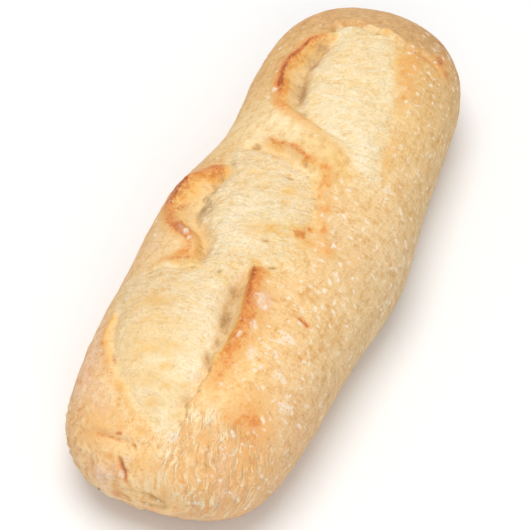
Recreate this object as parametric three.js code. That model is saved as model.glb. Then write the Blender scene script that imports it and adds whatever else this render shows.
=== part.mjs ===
// Demi-baguette: one baked loaf, a single closed solid, in millimetres, +Z up.
// +X runs along the loaf towards its rounder, slimmer end, the loaf lies on its flat sole at z = 0,
// and the origin is the bottom centre of its bounding box.
// The crust opened along three slashes in the oven. Each slash is a shallow, crumb-filled
// opening, with a raised crust lip (the "ear") along one side.

import * as THREE from 'three';
import { mergeVertices } from 'three/addons/utils/BufferGeometryUtils.js';

// ---- driving dimensions (mm) ----
const LENGTH = 230;
const BLUNT_CAP = { radius: 50.2, exponent: 2.85 };   // end at -X
const ROUND_CAP = { radius: 40.5, exponent: 2.2 };    // end at +X
// half width, sideways drift of the middle, and height, at even stations from -X to +X
const HALF_WIDTH = [42.24, 40.10, 41.64, 43.21, 44.47, 39.43, 38.80, 37.92, 38.76];
const DRIFT = [3.16, 1.62, -0.03, -2.65, -4.78, -2.95, -3.15];
const HEIGHT = [47.29, 52.49, 51.97, 50.96, 47.32];
const WAIST = 0.42;            // widest level, as a part of the height
const SOLE_OVERRUN = 1.18;     // how far the round underside would reach, cut flat at z = 0
const UPPER_EXPONENT = 2.15;
const LOWER_EXPONENT = 2.5;

const SEGMENTS_ALONG = 72;
const SEGMENTS_AROUND = 44;
const SEGMENTS_UNDER = 10;     // of those, on the underside
const UNDER_ANGLE = 0.35;      // radians below the waist where the coarse underside starts

// ---- slashes, in surface millimetres: [along the crown from mid-length, around from the crown] ----
const SLASH_DEPTH = 2.6;
const SLASHES = [
  { name: 'round_end_slash', outline: [
    [80, -13], [85, -11], [88, -6], [88.5, 0], [88, 6], [86, 10.5], [77.5, 14.5], [68, 17.5], [57.5, 20.5],
    [44, 22.5], [31.5, 24.5], [20, 26.5], [15, 25], [16, 20.5], [19.5, 15.5], [23, 12.5], [25.5, 7], [28.5, 0],
    [31.5, -6], [35, -11.5], [40, -15], [46, -17], [53, -17], [60, -16], [66.5, -14], [73, -12.2]] },
  { name: 'middle_slash', outline: [
    [17, -27.5], [16.2, -19], [17, -12], [16.4, -7], [12.5, -2], [9, 5], [5, 8.5], [-2, 12.5], [-10, 15],
    [-19, 18], [-27, 20.5], [-33, 20], [-36.5, 13], [-37, 7], [-41, 4.5], [-45.5, 2.5], [-45.5, -1.5],
    [-43.5, -8], [-40, -15], [-33, -19], [-25.5, -24.3], [-17, -25.7], [-8, -25.4], [3, -25.5], [10, -27]] },
  { name: 'blunt_end_slash', outline: [
    [-44, -34], [-41.5, -27], [-40.5, -18], [-42, -9], [-44, 2], [-47, 5.5], [-55, 5.5], [-62, 6.3], [-70, 7.7],
    [-73, 6.2], [-81, 7.8], [-88, 7], [-95, 6], [-102, 4.7], [-105.5, 2], [-104.5, -2.5], [-100.5, -8.5],
    [-95.5, -15], [-90, -21], [-83.7, -27], [-76, -32.3], [-68, -36], [-59, -36.5], [-50, -36]] },
];

// ---- raised crust lips: [along, around, height] with a common half width ----
const LIP_WIDTH = 4.2;
const LIPS = [
  { name: 'round_end_ear', crest: [
    [84, -13.5, 0.5], [79.5, -17, 1.6], [73.5, -21.4, 2.3], [66, -24.8, 2.8], [57, -26, 3.0], [49, -24.6, 2.8],
    [42, -21, 1.6], [36, -14.5, 0.8], [30, -3, 0.5]] },
  { name: 'skin_band_rim', crest: [
    [21, -19, 0.8], [20, -12.5, 1.4], [18.3, -4.5, 1.6], [15.3, 1.3, 1.7], [14.2, 7, 1.7], [12, 9.2, 1.4],
    [6.7, 11.1, 1.2], [-5.7, 16, 0.9], [-15.7, 21.3, 0.6]] },
  { name: 'middle_ear', crest: [
    [8, -29, 1.0], [5.4, -35, 2.6], [4.6, -40, 3.4], [3.5, -45, 3.4], [0, -47.5, 3.0], [-6, -45, 3.0],
    [-12, -42, 2.6], [-16, -38.7, 2.3], [-21.2, -33.3, 2.0], [-25, -28, 2.0], [-29, -21.5, 1.8],
    [-34, -18.7, 1.5], [-38.5, -17.3, 1.0]] },
  { name: 'crust_tongue_rim', crest: [[-38.5, -17, 1.0], [-40, -22, 1.2], [-41, -27, 1.0], [-42.5, -33, 0.6]] },
  { name: 'blunt_end_ear', crest: [
    [-37, 5.8, 2.0], [-42, 7, 3.2], [-50, 8.9, 3.4], [-58, 10.3, 3.2], [-66, 10.6, 2.5], [-73.5, 9.5, 1.8],
    [-83, 9.7, 1.2], [-92, 7.5, 0.8], [-101, 5.5, 0.4]] },
  { name: 'blunt_end_far_rim', crest: [
    [-66, -37.8, 0.6], [-74.4, -36, 1.2], [-83.6, -28.5, 1.0], [-93, -18, 0.6], [-101.7, -7.4, 0.4]] },
];

const clamp = THREE.MathUtils.clamp;
const smooth = (x, a, b) => THREE.MathUtils.smoothstep(x, a, b);

// natural cubic spline through evenly spaced stations on [-1, 1]
function stationCurve(values) {
  const n = values.length, h = 2 / (n - 1);
  const m = new Array(n).fill(0), c = new Array(n).fill(0), d = new Array(n).fill(0);
  for (let i = 1; i < n - 1; i++) {
    const rhs = 6 * (values[i + 1] - 2 * values[i] + values[i - 1]) / (h * h);
    const w = 4 - c[i - 1];
    c[i] = 1 / w;
    d[i] = (rhs - d[i - 1]) / w;
  }
  for (let i = n - 2; i > 0; i--) m[i] = d[i] - c[i] * m[i + 1];
  return (t) => {
    const i = clamp(Math.floor((t + 1) / h), 0, n - 2);
    const a = t - (-1 + i * h), b = h - a;
    return (m[i] * b ** 3 + m[i + 1] * a ** 3) / (6 * h)
      + (values[i] / h - m[i] * h / 6) * b + (values[i + 1] / h - m[i + 1] * h / 6) * a;
  };
}
const halfWidth = stationCurve(HALF_WIDTH);
const drift = stationCurve(DRIFT);
const height = stationCurve(HEIGHT);

// how much of the full section is left at station t, for a cap of the given radius
function cap(t, radius, exponent) {
  const q = clamp(1 - (1 - Math.abs(t)) * LENGTH / 2 / radius, 0, 1);
  return Math.max(1 - q ** exponent, 0) ** (1 / exponent);
}

// smooth loaf surface: t along [-1, 1], phi around (0 at +Y, a quarter turn at the crown)
function loafPoint(t, phi, out) {
  const end = t < 0 ? BLUNT_CAP : ROUND_CAP;
  const w = Math.max(halfWidth(t) * cap(t, end.radius, end.exponent), 1e-6);
  const h = height(t), waist = WAIST * h;
  const upper = Math.max((h - waist) * cap(t, end.radius * 1.15, 2.2), 1e-6);
  const lower = Math.max(waist * SOLE_OVERRUN * cap(t, end.radius * 0.8, 2.4), 1e-6);
  const c = Math.cos(phi), s = Math.sin(phi);
  const p = s > 0 ? UPPER_EXPONENT : LOWER_EXPONENT;
  const r = (Math.abs(c / w) ** p + Math.abs(s / (s > 0 ? upper : lower)) ** p) ** (-1 / p);
  return out.set(t * LENGTH / 2, drift(t) + r * c, Math.max(waist + r * s, 0));
}

// length of the crown line from mid-length to station t
const CROWN_STEPS = 800;
const crownLength = [0];
{
  const a = new THREE.Vector3(), b = new THREE.Vector3();
  for (let i = 1; i <= CROWN_STEPS; i++) {
    loafPoint(-Math.cos(Math.PI * (i - 1) / CROWN_STEPS), Math.PI / 2, a);
    loafPoint(-Math.cos(Math.PI * i / CROWN_STEPS), Math.PI / 2, b);
    crownLength.push(crownLength[i - 1] + Math.hypot(b.x - a.x, b.z - a.z));
  }
  const middle = crownLength[CROWN_STEPS / 2];
  for (let i = 0; i <= CROWN_STEPS; i++) crownLength[i] -= middle;
}
function alongSurface(t) {
  const f = Math.acos(clamp(-t, -1, 1)) / Math.PI * CROWN_STEPS;
  const i = clamp(Math.floor(f), 0, CROWN_STEPS - 1);
  return crownLength[i] + (crownLength[i + 1] - crownLength[i]) * (f - i);
}
function aroundSurface(t, phi) {
  const a = new THREE.Vector3(), b = new THREE.Vector3();
  const steps = Math.max(2, Math.ceil(Math.abs(phi - Math.PI / 2) / 0.05));
  let sum = 0;
  loafPoint(t, Math.PI / 2, a);
  for (let i = 1; i <= steps; i++) {
    loafPoint(t, Math.PI / 2 + (phi - Math.PI / 2) * i / steps, b);
    sum += a.distanceTo(b);
    a.copy(b);
  }
  return phi > Math.PI / 2 ? sum : -sum;
}

// smooth closed outlines and lip crests, sampled from splines
const outlines = SLASHES.map(({ outline }) => {
  const points = outline.map(([x, y]) => new THREE.Vector3(x, y, 0));
  return new THREE.CatmullRomCurve3(points, true, 'centripetal').getSpacedPoints(160);
});
const crests = LIPS.map(({ crest }) => {
  const points = crest.map(([x, y, z]) => new THREE.Vector3(x, y, z));
  return new THREE.CatmullRomCurve3(points, false, 'centripetal').getPoints(120);
});

// depth inside a closed outline: positive inside, negative outside
function insideDistance(outline, x, y) {
  let inside = false, best = Infinity;
  for (let i = 0, j = outline.length - 1; i < outline.length; j = i++) {
    const a = outline[i], b = outline[j];
    if ((a.y > y) !== (b.y > y) && x < (b.x - a.x) * (y - a.y) / (b.y - a.y) + a.x) inside = !inside;
    const ex = b.x - a.x, ey = b.y - a.y;
    const k = clamp(((x - a.x) * ex + (y - a.y) * ey) / (ex * ex + ey * ey || 1), 0, 1);
    best = Math.min(best, Math.hypot(x - a.x - k * ex, y - a.y - k * ey));
  }
  return inside ? best : -best;
}

function relief(x, y) {
  let out = 0;
  for (const outline of outlines) {
    const d = insideDistance(outline, x, y);
    if (d > 0) out -= SLASH_DEPTH * smooth(d, 0, 4) * (1 - 0.8 * smooth(d, 4, 15));
  }
  let lip = 0;
  for (const crest of crests) {
    let best = Infinity, tall = 0;
    for (const p of crest) {
      const d = Math.hypot(x - p.x, y - p.y);
      if (d < best) { best = d; tall = p.z; }
    }
    lip = Math.max(lip, tall * Math.exp(-((best / LIP_WIDTH) ** 2)));
  }
  return out + lip;
}

// ---- build: a sphere's grid, each vertex moved to the loaf surface and raised by the relief ----
function buildLoaf() {
  const geometry = new THREE.SphereGeometry(1, SEGMENTS_AROUND, SEGMENTS_ALONG);
  const position = geometry.attributes.position;
  const top = SEGMENTS_AROUND - SEGMENTS_UNDER;
  const p = new THREE.Vector3(), du = new THREE.Vector3(), dv = new THREE.Vector3();
  const q = new THREE.Vector3(), n = new THREE.Vector3(), middle = new THREE.Vector3();
  for (let row = 0; row <= SEGMENTS_ALONG; row++) {
    const u = row / SEGMENTS_ALONG;
    const tau = Math.PI * u + 0.12 * Math.sin(2 * Math.PI * u);
    const t = row === 0 ? -1 : row === SEGMENTS_ALONG ? 1 : -Math.cos(tau);
    for (let col = 0; col <= SEGMENTS_AROUND; col++) {
      const index = row * (SEGMENTS_AROUND + 1) + col;
      if (row === 0 || row === SEGMENTS_ALONG) {
        position.setXYZ(index, t * LENGTH / 2, drift(t), WAIST * height(t));
        continue;
      }
      const k = col % SEGMENTS_AROUND;
      // the top runs from just below one waist line to just below the other
      const phi = k <= top
        ? -UNDER_ANGLE + (Math.PI + 2 * UNDER_ANGLE) * k / top
        : Math.PI + UNDER_ANGLE + (Math.PI - 2 * UNDER_ANGLE) * (k - top) / SEGMENTS_UNDER;
      loafPoint(t, phi, p);
      const fade = smooth(p.z, 3, 12);
      if (fade > 0) {
        const e = 1e-3;
        loafPoint(clamp(t + e, -0.99999, 0.99999), phi, du);
        loafPoint(clamp(t - e, -0.99999, 0.99999), phi, q);
        du.sub(q);
        loafPoint(t, phi + e, dv);
        loafPoint(t, phi - e, q);
        dv.sub(q);
        n.crossVectors(du, dv).normalize();
        middle.set(p.x, drift(t), WAIST * height(t));
        if (q.copy(p).sub(middle).dot(n) < 0) n.negate();
        p.addScaledVector(n, fade * relief(alongSurface(t), aroundSurface(t, phi)));
      }
      position.setXYZ(index, p.x, p.y, p.z);
    }
  }
  geometry.deleteAttribute('normal');
  geometry.deleteAttribute('uv');
  const merged = mergeVertices(geometry, 1e-4);
  // the grid runs from -X to +X, so flip the winding where the faces would point inwards
  const index = merged.index.array, pos = merged.attributes.position;
  let volume = 0;
  const a = new THREE.Vector3(), b = new THREE.Vector3(), c = new THREE.Vector3();
  for (let i = 0; i < index.length; i += 3) {
    a.fromBufferAttribute(pos, index[i]);
    b.fromBufferAttribute(pos, index[i + 1]);
    c.fromBufferAttribute(pos, index[i + 2]);
    volume += a.dot(b.cross(c)) / 6;
  }
  if (volume < 0) {
    for (let i = 0; i < index.length; i += 3) {
      const swap = index[i + 1];
      index[i + 1] = index[i + 2];
      index[i + 2] = swap;
    }
  }
  // bottom centre of the bounding box to the origin
  merged.computeBoundingBox();
  const box = merged.boundingBox;
  merged.translate(-(box.min.x + box.max.x) / 2, -(box.min.y + box.max.y) / 2, -box.min.z);
  merged.computeVertexNormals();
  return merged;
}

const loaf = new THREE.Mesh(
  buildLoaf(),
  new THREE.MeshStandardMaterial({ color: 0xe6b978, roughness: 0.72, metalness: 0 }),
);
loaf.name = 'loaf';

const baguette = new THREE.Group();
baguette.add(loaf);
export default baguette;
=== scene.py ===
import math

import bpy
import numpy as np
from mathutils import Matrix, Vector


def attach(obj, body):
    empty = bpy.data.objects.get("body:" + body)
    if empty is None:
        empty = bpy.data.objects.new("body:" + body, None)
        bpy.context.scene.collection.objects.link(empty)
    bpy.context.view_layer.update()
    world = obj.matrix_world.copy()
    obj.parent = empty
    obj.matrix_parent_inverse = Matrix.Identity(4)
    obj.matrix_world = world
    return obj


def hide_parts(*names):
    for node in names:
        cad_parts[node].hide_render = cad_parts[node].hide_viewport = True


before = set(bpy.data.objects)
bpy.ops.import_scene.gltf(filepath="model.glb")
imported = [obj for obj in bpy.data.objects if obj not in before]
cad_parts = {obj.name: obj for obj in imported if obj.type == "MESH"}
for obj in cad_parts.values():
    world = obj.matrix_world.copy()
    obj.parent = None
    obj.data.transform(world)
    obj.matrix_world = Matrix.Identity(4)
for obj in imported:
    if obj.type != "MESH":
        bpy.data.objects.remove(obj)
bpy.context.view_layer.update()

# ---------------------------------------------------------------- the loaf's smooth body (mm)
LENGTH = 230.0
BLUNT_CAP = (50.2, 2.85)     # cap length and exponent at -X
ROUND_CAP = (40.5, 2.2)      # at +X
HALF_WIDTH = [42.24, 40.10, 41.64, 43.21, 44.47, 39.43, 38.80, 37.92, 38.76]
DRIFT = [3.16, 1.62, -0.03, -2.65, -4.78, -2.95, -3.15]
HEIGHT = [47.29, 52.49, 51.97, 50.96, 47.32]
WAIST = 0.42
SOLE_OVERRUN = 1.18
UPPER_EXPONENT = 2.15
LOWER_EXPONENT = 2.5
SHIFT_Y = 2.11               # body to row frame: the CAD box is centred on the origin
SOLE_ROUND = 2.0             # how softly the flank turns into the sole

N_AROUND = 288               # vertices round a section, a multiple of 8
N_ALONG = 300                # rows between the two end caps
CAP_REACH = 30.0             # how far the end caps' grids reach, measured along the crown


def spline(xk, yk):
    xk, yk = np.asarray(xk, float), np.asarray(yk, float)
    n = len(xk)
    h = np.diff(xk)
    a = np.zeros((n, n))
    b = np.zeros(n)
    a[0, 0] = a[-1, -1] = 1
    for i in range(1, n - 1):
        a[i, i - 1], a[i, i], a[i, i + 1] = h[i - 1], 2 * (h[i - 1] + h[i]), h[i]
        b[i] = 6 * ((yk[i + 1] - yk[i]) / h[i] - (yk[i] - yk[i - 1]) / h[i - 1])
    m = np.linalg.solve(a, b)

    def f(x):
        x = np.asarray(x, float)
        i = np.clip(np.searchsorted(xk, x) - 1, 0, n - 2)
        t, hh = x - xk[i], h[i]
        return (
            (m[i] * (hh - t) ** 3 + m[i + 1] * t**3) / (6 * hh)
            + (yk[i] / hh - m[i] * hh / 6) * (hh - t)
            + (yk[i + 1] / hh - m[i + 1] * hh / 6) * t
        )

    return f


half_width = spline(np.linspace(-1, 1, 9), HALF_WIDTH)
drift = spline(np.linspace(-1, 1, 7), DRIFT)
height = spline(np.linspace(-1, 1, 5), HEIGHT)


def cap(t, radius, exponent):
    q = np.clip(1 - (1 - np.abs(t)) * LENGTH / 2 / radius, 0, 1)
    return np.maximum(1 - q**exponent, 0) ** (1 / exponent)


def body_point(t, phi):
    t, phi = np.broadcast_arrays(np.asarray(t, float), np.asarray(phi, float))
    near = t < 0
    w = half_width(t) * np.where(near, cap(t, *BLUNT_CAP), cap(t, *ROUND_CAP))
    h = height(t)
    zm = WAIST * h
    up = (h - zm) * np.where(near, cap(t, BLUNT_CAP[0] * 1.15, 2.2), cap(t, ROUND_CAP[0] * 1.15, 2.2))
    lo = zm * SOLE_OVERRUN * np.where(near, cap(t, BLUNT_CAP[0] * 0.8, 2.4), cap(t, ROUND_CAP[0] * 0.8, 2.4))
    w, up, lo = (np.maximum(v, 1e-6) for v in (w, up, lo))
    c, s = np.cos(phi), np.sin(phi)
    top = s > 0
    p = np.where(top, UPPER_EXPONENT, LOWER_EXPONENT)
    r = ((np.abs(c) / w) ** p + (np.abs(s) / np.where(top, up, lo)) ** p) ** (-1 / p)
    z = zm + r * s
    k = SOLE_ROUND
    z = np.where(z > k, z, np.where(z < -k, 0.0, (z + k) ** 2 / (4 * k)))
    return np.stack([t * LENGTH / 2, drift(t) + r * c, z], -1)


# surface coordinates in mm: A along the crown line from mid-length, S round the section from the crown (+S on the -Y side)
_t = -np.cos(np.linspace(0, np.pi, 2001))
_c = body_point(_t, np.pi / 2)
_a = np.r_[0, np.cumsum(np.hypot(np.diff(_c[:, 0]), np.diff(_c[:, 2])))]
_a -= np.interp(0, _t, _a)
A_MIN, A_MAX = _a[0], _a[-1]


# ---------------------------------------------------------------- noise, in numpy
def _rnd(ix, iy, iz, seed):
    h = ix * np.uint32(0x8DA6B343) + iy * np.uint32(0xD8163841) + iz * np.uint32(0xCB1AB31F)
    h = h + np.uint32((seed * 0x9E3779B1) & 0xFFFFFFFF)
    h = (h ^ (h >> np.uint32(15))) * np.uint32(0x2C1B3C6D)
    h = (h ^ (h >> np.uint32(12))) * np.uint32(0x297A2D39)
    h = h ^ (h >> np.uint32(15))
    return h.astype(np.float64) / 4294967296.0


def noise(p, seed):
    """gradient noise, about -1 to 1"""
    p = np.asarray(p, float)
    if p.shape[1] == 2:
        p = np.c_[p, np.zeros(len(p))]
    f0 = np.floor(p)
    f = p - f0
    i = f0.astype(np.int64)
    u = f * f * f * (f * (f * 6 - 15) + 10)
    out = np.zeros(len(p))
    for dx in (0, 1):
        for dy in (0, 1):
            for dz in (0, 1):
                ix = ((i[:, 0] + dx) & 0xFFFFFFFF).astype(np.uint32)
                iy = ((i[:, 1] + dy) & 0xFFFFFFFF).astype(np.uint32)
                iz = ((i[:, 2] + dz) & 0xFFFFFFFF).astype(np.uint32)
                gz = _rnd(ix, iy, iz, seed) * 2 - 1
                an = _rnd(ix, iy, iz, seed + 77) * 2 * np.pi
                gr = np.sqrt(np.maximum(1 - gz * gz, 0))
                dot = gr * np.cos(an) * (f[:, 0] - dx) + gr * np.sin(an) * (f[:, 1] - dy) + gz * (f[:, 2] - dz)
                wx = u[:, 0] if dx else 1 - u[:, 0]
                wy = u[:, 1] if dy else 1 - u[:, 1]
                wz = u[:, 2] if dz else 1 - u[:, 2]
                out += wx * wy * wz * dot
    return out * 1.6


def fbm(p, seed, octaves=3, gain=0.5):
    out, amp, tot = 0, 1.0, 0.0
    p = np.asarray(p, float)
    for k in range(octaves):
        out = out + amp * noise(p * 2.03**k + 11.7 * k, seed + 13 * k)
        tot += amp
        amp *= gain
    return out / tot


def cells(p, seed):
    """distance to the nearest of one random point per unit cell, and that cell's random number"""
    p = np.asarray(p, float)
    if p.shape[1] == 2:
        p = np.c_[p, np.zeros(len(p))]
    i = np.floor(p).astype(np.int64)
    best = np.full(len(p), 9.0)
    rid = np.zeros(len(p))
    for dx in (-1, 0, 1):
        for dy in (-1, 0, 1):
            for dz in (-1, 0, 1):
                c = i + (dx, dy, dz)
                u = [(c[:, k] & 0xFFFFFFFF).astype(np.uint32) for k in range(3)]
                q = c + np.stack([_rnd(*u, seed + k) for k in range(3)], 1)
                d = np.sqrt(((p - q) ** 2).sum(1))
                r = _rnd(*u, seed + 5)
                m = d < best
                best = np.where(m, d, best)
                rid = np.where(m, r, rid)
    return best, rid


def sstep(x, a, b):
    k = np.clip((x - a) / (b - a), 0, 1)
    return k * k * (3 - 2 * k)


# ---------------------------------------------------------------- grid: rings of the tube, concentric squares at the ends
def around_of(fraction):
    """fraction of the vertices from the crown to the bottom -> fraction of the half girth, denser on top"""
    g = np.linspace(0, 1, 400)
    dens = 1 - 0.55 * sstep(g, 0.66, 0.76)
    c = np.r_[0, np.cumsum((dens[1:] + dens[:-1]) / 2)]
    return np.interp(fraction, c / c[-1], g)


def rings(ts, counts):
    """positions and S for rings at stations ts with the given vertex counts"""
    ph = np.linspace(np.pi / 2, 1.5 * np.pi, 721)
    out = []
    for t, n in zip(ts, counts):
        u = np.arange(n) / n
        right = u <= 0.5
        g = around_of(np.where(right, 2 * u, 2 * (1 - u)))
        pr = body_point(t, ph)
        s = np.r_[0, np.cumsum(np.linalg.norm(np.diff(pr, axis=0), axis=1))]
        sv = g * s[-1]
        pv = np.interp(sv, s, ph)
        phi = np.where(right, pv, np.pi - pv)
        out.append((body_point(np.full(n, t), phi), np.where(right, sv, -sv), phi))
    return out


M = N_AROUND // 4
HALF = M // 2
a_lo, a_hi = A_MIN + CAP_REACH, A_MAX - CAP_REACH
tube_a = np.linspace(a_lo, a_hi, N_ALONG + 1)
tube_t = np.interp(tube_a, _a, _t)
verts, S_, A_, PHI_, UVs = [], [], [], [], []
start = {}
nv = 0


def add_ring(key, t, a, n, data):
    global nv
    start[key] = nv
    verts.append(data[0])
    S_.append(data[1])
    PHI_.append(data[2])
    A_.append(np.full(n, a))
    nv += n


for j, d in enumerate(rings(tube_t, [N_AROUND] * len(tube_t))):
    add_ring(("tube", j), tube_t[j], tube_a[j], N_AROUND, d)
for end, a_edge, a_tip in (("lo", a_lo, A_MIN), ("hi", a_hi, A_MAX)):
    js = list(range(1, HALF))
    aa = [a_tip + (a_edge - a_tip) * (j / HALF) for j in js]
    tt = np.interp(aa, _a, _t)
    for j, a, t, d in zip(js, aa, tt, rings(tt, [8 * j for j in js])):
        add_ring((end, j), t, a, 8 * j, d)
    tip = -1.0 if end == "lo" else 1.0
    start[(end, 0)] = nv
    verts.append(body_point(np.array([tip]), np.array([0.0])) * 0 + np.array([[tip * LENGTH / 2, drift(tip), WAIST * height(tip)]]))
    S_.append(np.zeros(1))
    PHI_.append(np.full(1, np.pi / 2))
    A_.append(np.full(1, a_tip))
    nv += 1
P = np.concatenate(verts)
S = np.concatenate(S_)
A = np.concatenate(A_)
PHI = np.concatenate(PHI_)


def cap_index(end, i, j):
    """vertex of the cap's square grid, 0..M each way"""
    x, y = i - HALF, j - HALF
    r = max(abs(x), abs(y))
    if r == 0:
        return start[(end, 0)]
    # walk round the square: corner at the start so that all rings line up
    if x == r and y < r:
        k = y + r
    elif y == r and x > -r:
        k = 2 * r + (r - x)
    elif x == -r and y > -r:
        k = 4 * r + (r - y)
    else:
        k = 6 * r + (x + r)
    k = (k - r) % (8 * r)     # the crown is the middle of the first side
    if r == HALF:
        return start[("tube", 0 if end == "lo" else N_ALONG)] + k
    return start[(end, r)] + k


faces, uvs = [], []
half_girth = 118.0
unit = 262.0                  # mm of surface across the whole UV square
su = np.arange(N_AROUND + 1) / N_AROUND
sv = np.where(su <= 0.5, around_of(np.minimum(2 * su, 1)), 2 - around_of(np.clip(2 * (1 - su), 0, 1))) * half_girth
for j in range(N_ALONG):
    r0, r1 = start[("tube", j)], start[("tube", j + 1)]
    u0, u1 = 2.0 + tube_a[j] - a_lo, 2.0 + tube_a[j + 1] - a_lo
    for i in range(N_AROUND):
        # start the seam at the bottom
        i0 = (i + N_AROUND // 2) % N_AROUND
        i1 = (i0 + 1) % N_AROUND
        faces.append((r0 + i0, r0 + i1, r1 + i1, r1 + i0))
        va = 4.0 + (sv[i + N_AROUND // 2] - half_girth if i < N_AROUND // 2 else sv[i - N_AROUND // 2] + half_girth)
        vb = 4.0 + (sv[i + 1 + N_AROUND // 2] - half_girth if i + 1 <= N_AROUND // 2 else sv[i + 1 - N_AROUND // 2] + half_girth)
        uvs.append(((u0, va), (u0, vb), (u1, vb), (u1, va)))
cap_size = 60.0
for end, v0 in (("lo", 4.0), ("hi", 72.0)):
    u_start = 2.0 + (a_hi - a_lo) + 3.0
    for i in range(M):
        for j in range(M):
            q = [cap_index(end, i, j), cap_index(end, i + 1, j), cap_index(end, i + 1, j + 1), cap_index(end, i, j + 1)]
            c = [(i, j), (i + 1, j), (i + 1, j + 1), (i, j + 1)]
            faces.append(tuple(q))
            uvs.append(tuple((u_start + x / M * cap_size, v0 + y / M * cap_size) for x, y in c))
faces = np.array(faces)
uvs = np.array(uvs) / unit


def face_normals(p):
    a, b, c, d = (p[faces[:, k]] for k in range(4))
    return np.cross(c - a, d - b)


def vertex_normals(p):
    fn = face_normals(p)
    out = np.zeros_like(p)
    for k in range(4):
        np.add.at(out, faces[:, k], fn)
    return out / (np.linalg.norm(out, axis=1, keepdims=True) + 1e-12)


# make every face point outwards
centre = np.stack([P[:, 0], drift(P[:, 0] / (LENGTH / 2)), WAIST * height(P[:, 0] / (LENGTH / 2))], 1)
mid = P[faces].mean(1)
flip = ((mid - centre[faces].mean(1)) * face_normals(P)).sum(1) < 0
# caps look along X, so test them against the tip direction instead
is_cap = np.arange(len(faces)) >= N_ALONG * N_AROUND
capx = np.sign(mid[:, 0])
flip = np.where(is_cap, (face_normals(P)[:, 0] * capx) < 0, flip)
for blk in (slice(0, N_ALONG * N_AROUND), slice(N_ALONG * N_AROUND, N_ALONG * N_AROUND + M * M), slice(N_ALONG * N_AROUND + M * M, len(faces))):
    if flip[blk].mean() > 0.5:
        faces[blk] = faces[blk][:, ::-1]
        uvs[blk] = uvs[blk][:, ::-1]
N = vertex_normals(P)
N[np.abs(N).sum(1) < 0.5] = (0, 0, 1)
AS = np.stack([A, S], 1)

# ---------------------------------------------------------------- slashes, ears and other marks, in (A, S) mm
# outlines of the crumb: A, S, softness of the border
CRUMB = {
    "round_end": [
        (80.5, -12.5, 0.6), (85.3, -10.8, 0.5), (88.3, -6, 0.5), (89.2, -1, 0.5), (88.2, 3.2, 0.5), (88.3, 7, 0.8),
        (85.6, 10.6, 2.0), (77.6, 14.4, 3.6), (68.0, 17.3, 4.4), (57.8, 19.8, 4.8), (50.4, 21.6, 4.8), (44.1, 22.0, 5.0),
        (38.4, 23.2, 5.2), (31.5, 24.4, 5.4), (25.8, 25.8, 5.8), (19.7, 27.0, 6.0), (14.8, 26.2, 6.0), (14.6, 21.8, 5.0),
        (18.0, 16.6, 3.4), (22.6, 12.9, 2.0), (24.8, 8.7, 1.2), (26.8, 2.4, 0.8), (30.2, -3.8, 0.8), (33.9, -9.9, 0.7),
        (39.5, -15.2, 0.6), (45.6, -17.6, 0.6), (53.0, -18.6, 0.6), (58.4, -19.0, 0.6), (62.9, -18.0, 0.6),
        (68.2, -16.2, 0.6), (74.5, -14.0, 0.6)],
    "middle": [
        (15.0, -27.7, 1.2), (15.2, -22.2, 0.8), (16.2, -16.8, 0.5), (17.0, -12.2, 0.5), (16.0, -7.0, 0.6),
        (12.8, -2.9, 0.8), (10.6, 1.0, 1.0), (8.6, 4.6, 1.2), (4.8, 8.0, 1.4), (0.2, 10.8, 1.5), (-4.8, 12.8, 2.2),
        (-9.9, 14.0, 3.6), (-15.5, 14.8, 5.0), (-21.1, 15.8, 6.0), (-27.0, 16.0, 6.5), (-31.0, 14.8, 6.0),
        (-34.2, 12.2, 4.6), (-36.0, 8.8, 2.0), (-36.5, 6.7, 0.7), (-37.0, 4.4, 0.5), (-41.0, 4.0, 0.6),
        (-46.2, 3.0, 0.8), (-47.9, -0.4, 0.8), (-46.8, -7.7, 0.8), (-42.8, -13.6, 0.6), (-36.6, -16.0, 0.5),
        (-31.6, -18.2, 0.5), (-26.0, -22.4, 0.6), (-20.0, -26.2, 0.6), (-12.6, -26.6, 0.6), (-7.0, -26.4, 0.6),
        (-1.8, -26.4, 0.7), (3.5, -26.0, 0.9), (10.1, -27.0, 1.2)],
    "blunt_end": [
        (-45.4, -38.0, 3.0), (-44.4, -33.0, 2.2), (-42.6, -27.9, 1.2), (-41.6, -22.2, 0.5), (-40.2, -15.6, 0.6),
        (-40.0, -10.5, 1.0), (-40.4, -4.0, 1.0), (-41.4, 2.3, 0.6), (-44.0, 4.4, 0.5), (-50.0, 4.8, 0.5),
        (-55.0, 5.0, 0.5), (-60.0, 6.0, 0.5), (-64.5, 7.2, 0.5), (-69.0, 7.6, 0.6), (-72.4, 6.0, 0.5), (-77.1, 7.3, 0.5),
        (-81.2, 8.0, 0.5), (-84.3, 6.5, 0.5), (-88.8, 7.0, 0.5), (-91.6, 5.2, 0.5), (-95.3, 6.4, 0.5),
        (-98.8, 6.0, 0.6), (-102.4, 4.4, 0.8), (-105.3, 2.6, 1.2), (-105.6, -0.4, 1.4), (-103.2, -4.1, 1.2),
        (-100.8, -8.1, 1.0), (-98.3, -12.0, 1.0), (-95.2, -15.4, 1.0), (-91.6, -19.2, 1.0), (-87.6, -23.2, 0.8),
        (-83.2, -27.0, 0.8), (-78.0, -31.0, 0.8), (-72.9, -34.0, 0.9), (-67.5, -36.4, 1.8), (-61.0, -40.0, 3.4),
        (-54.0, -43.0, 4.4), (-48.5, -42.5, 4.0)],
}

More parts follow.
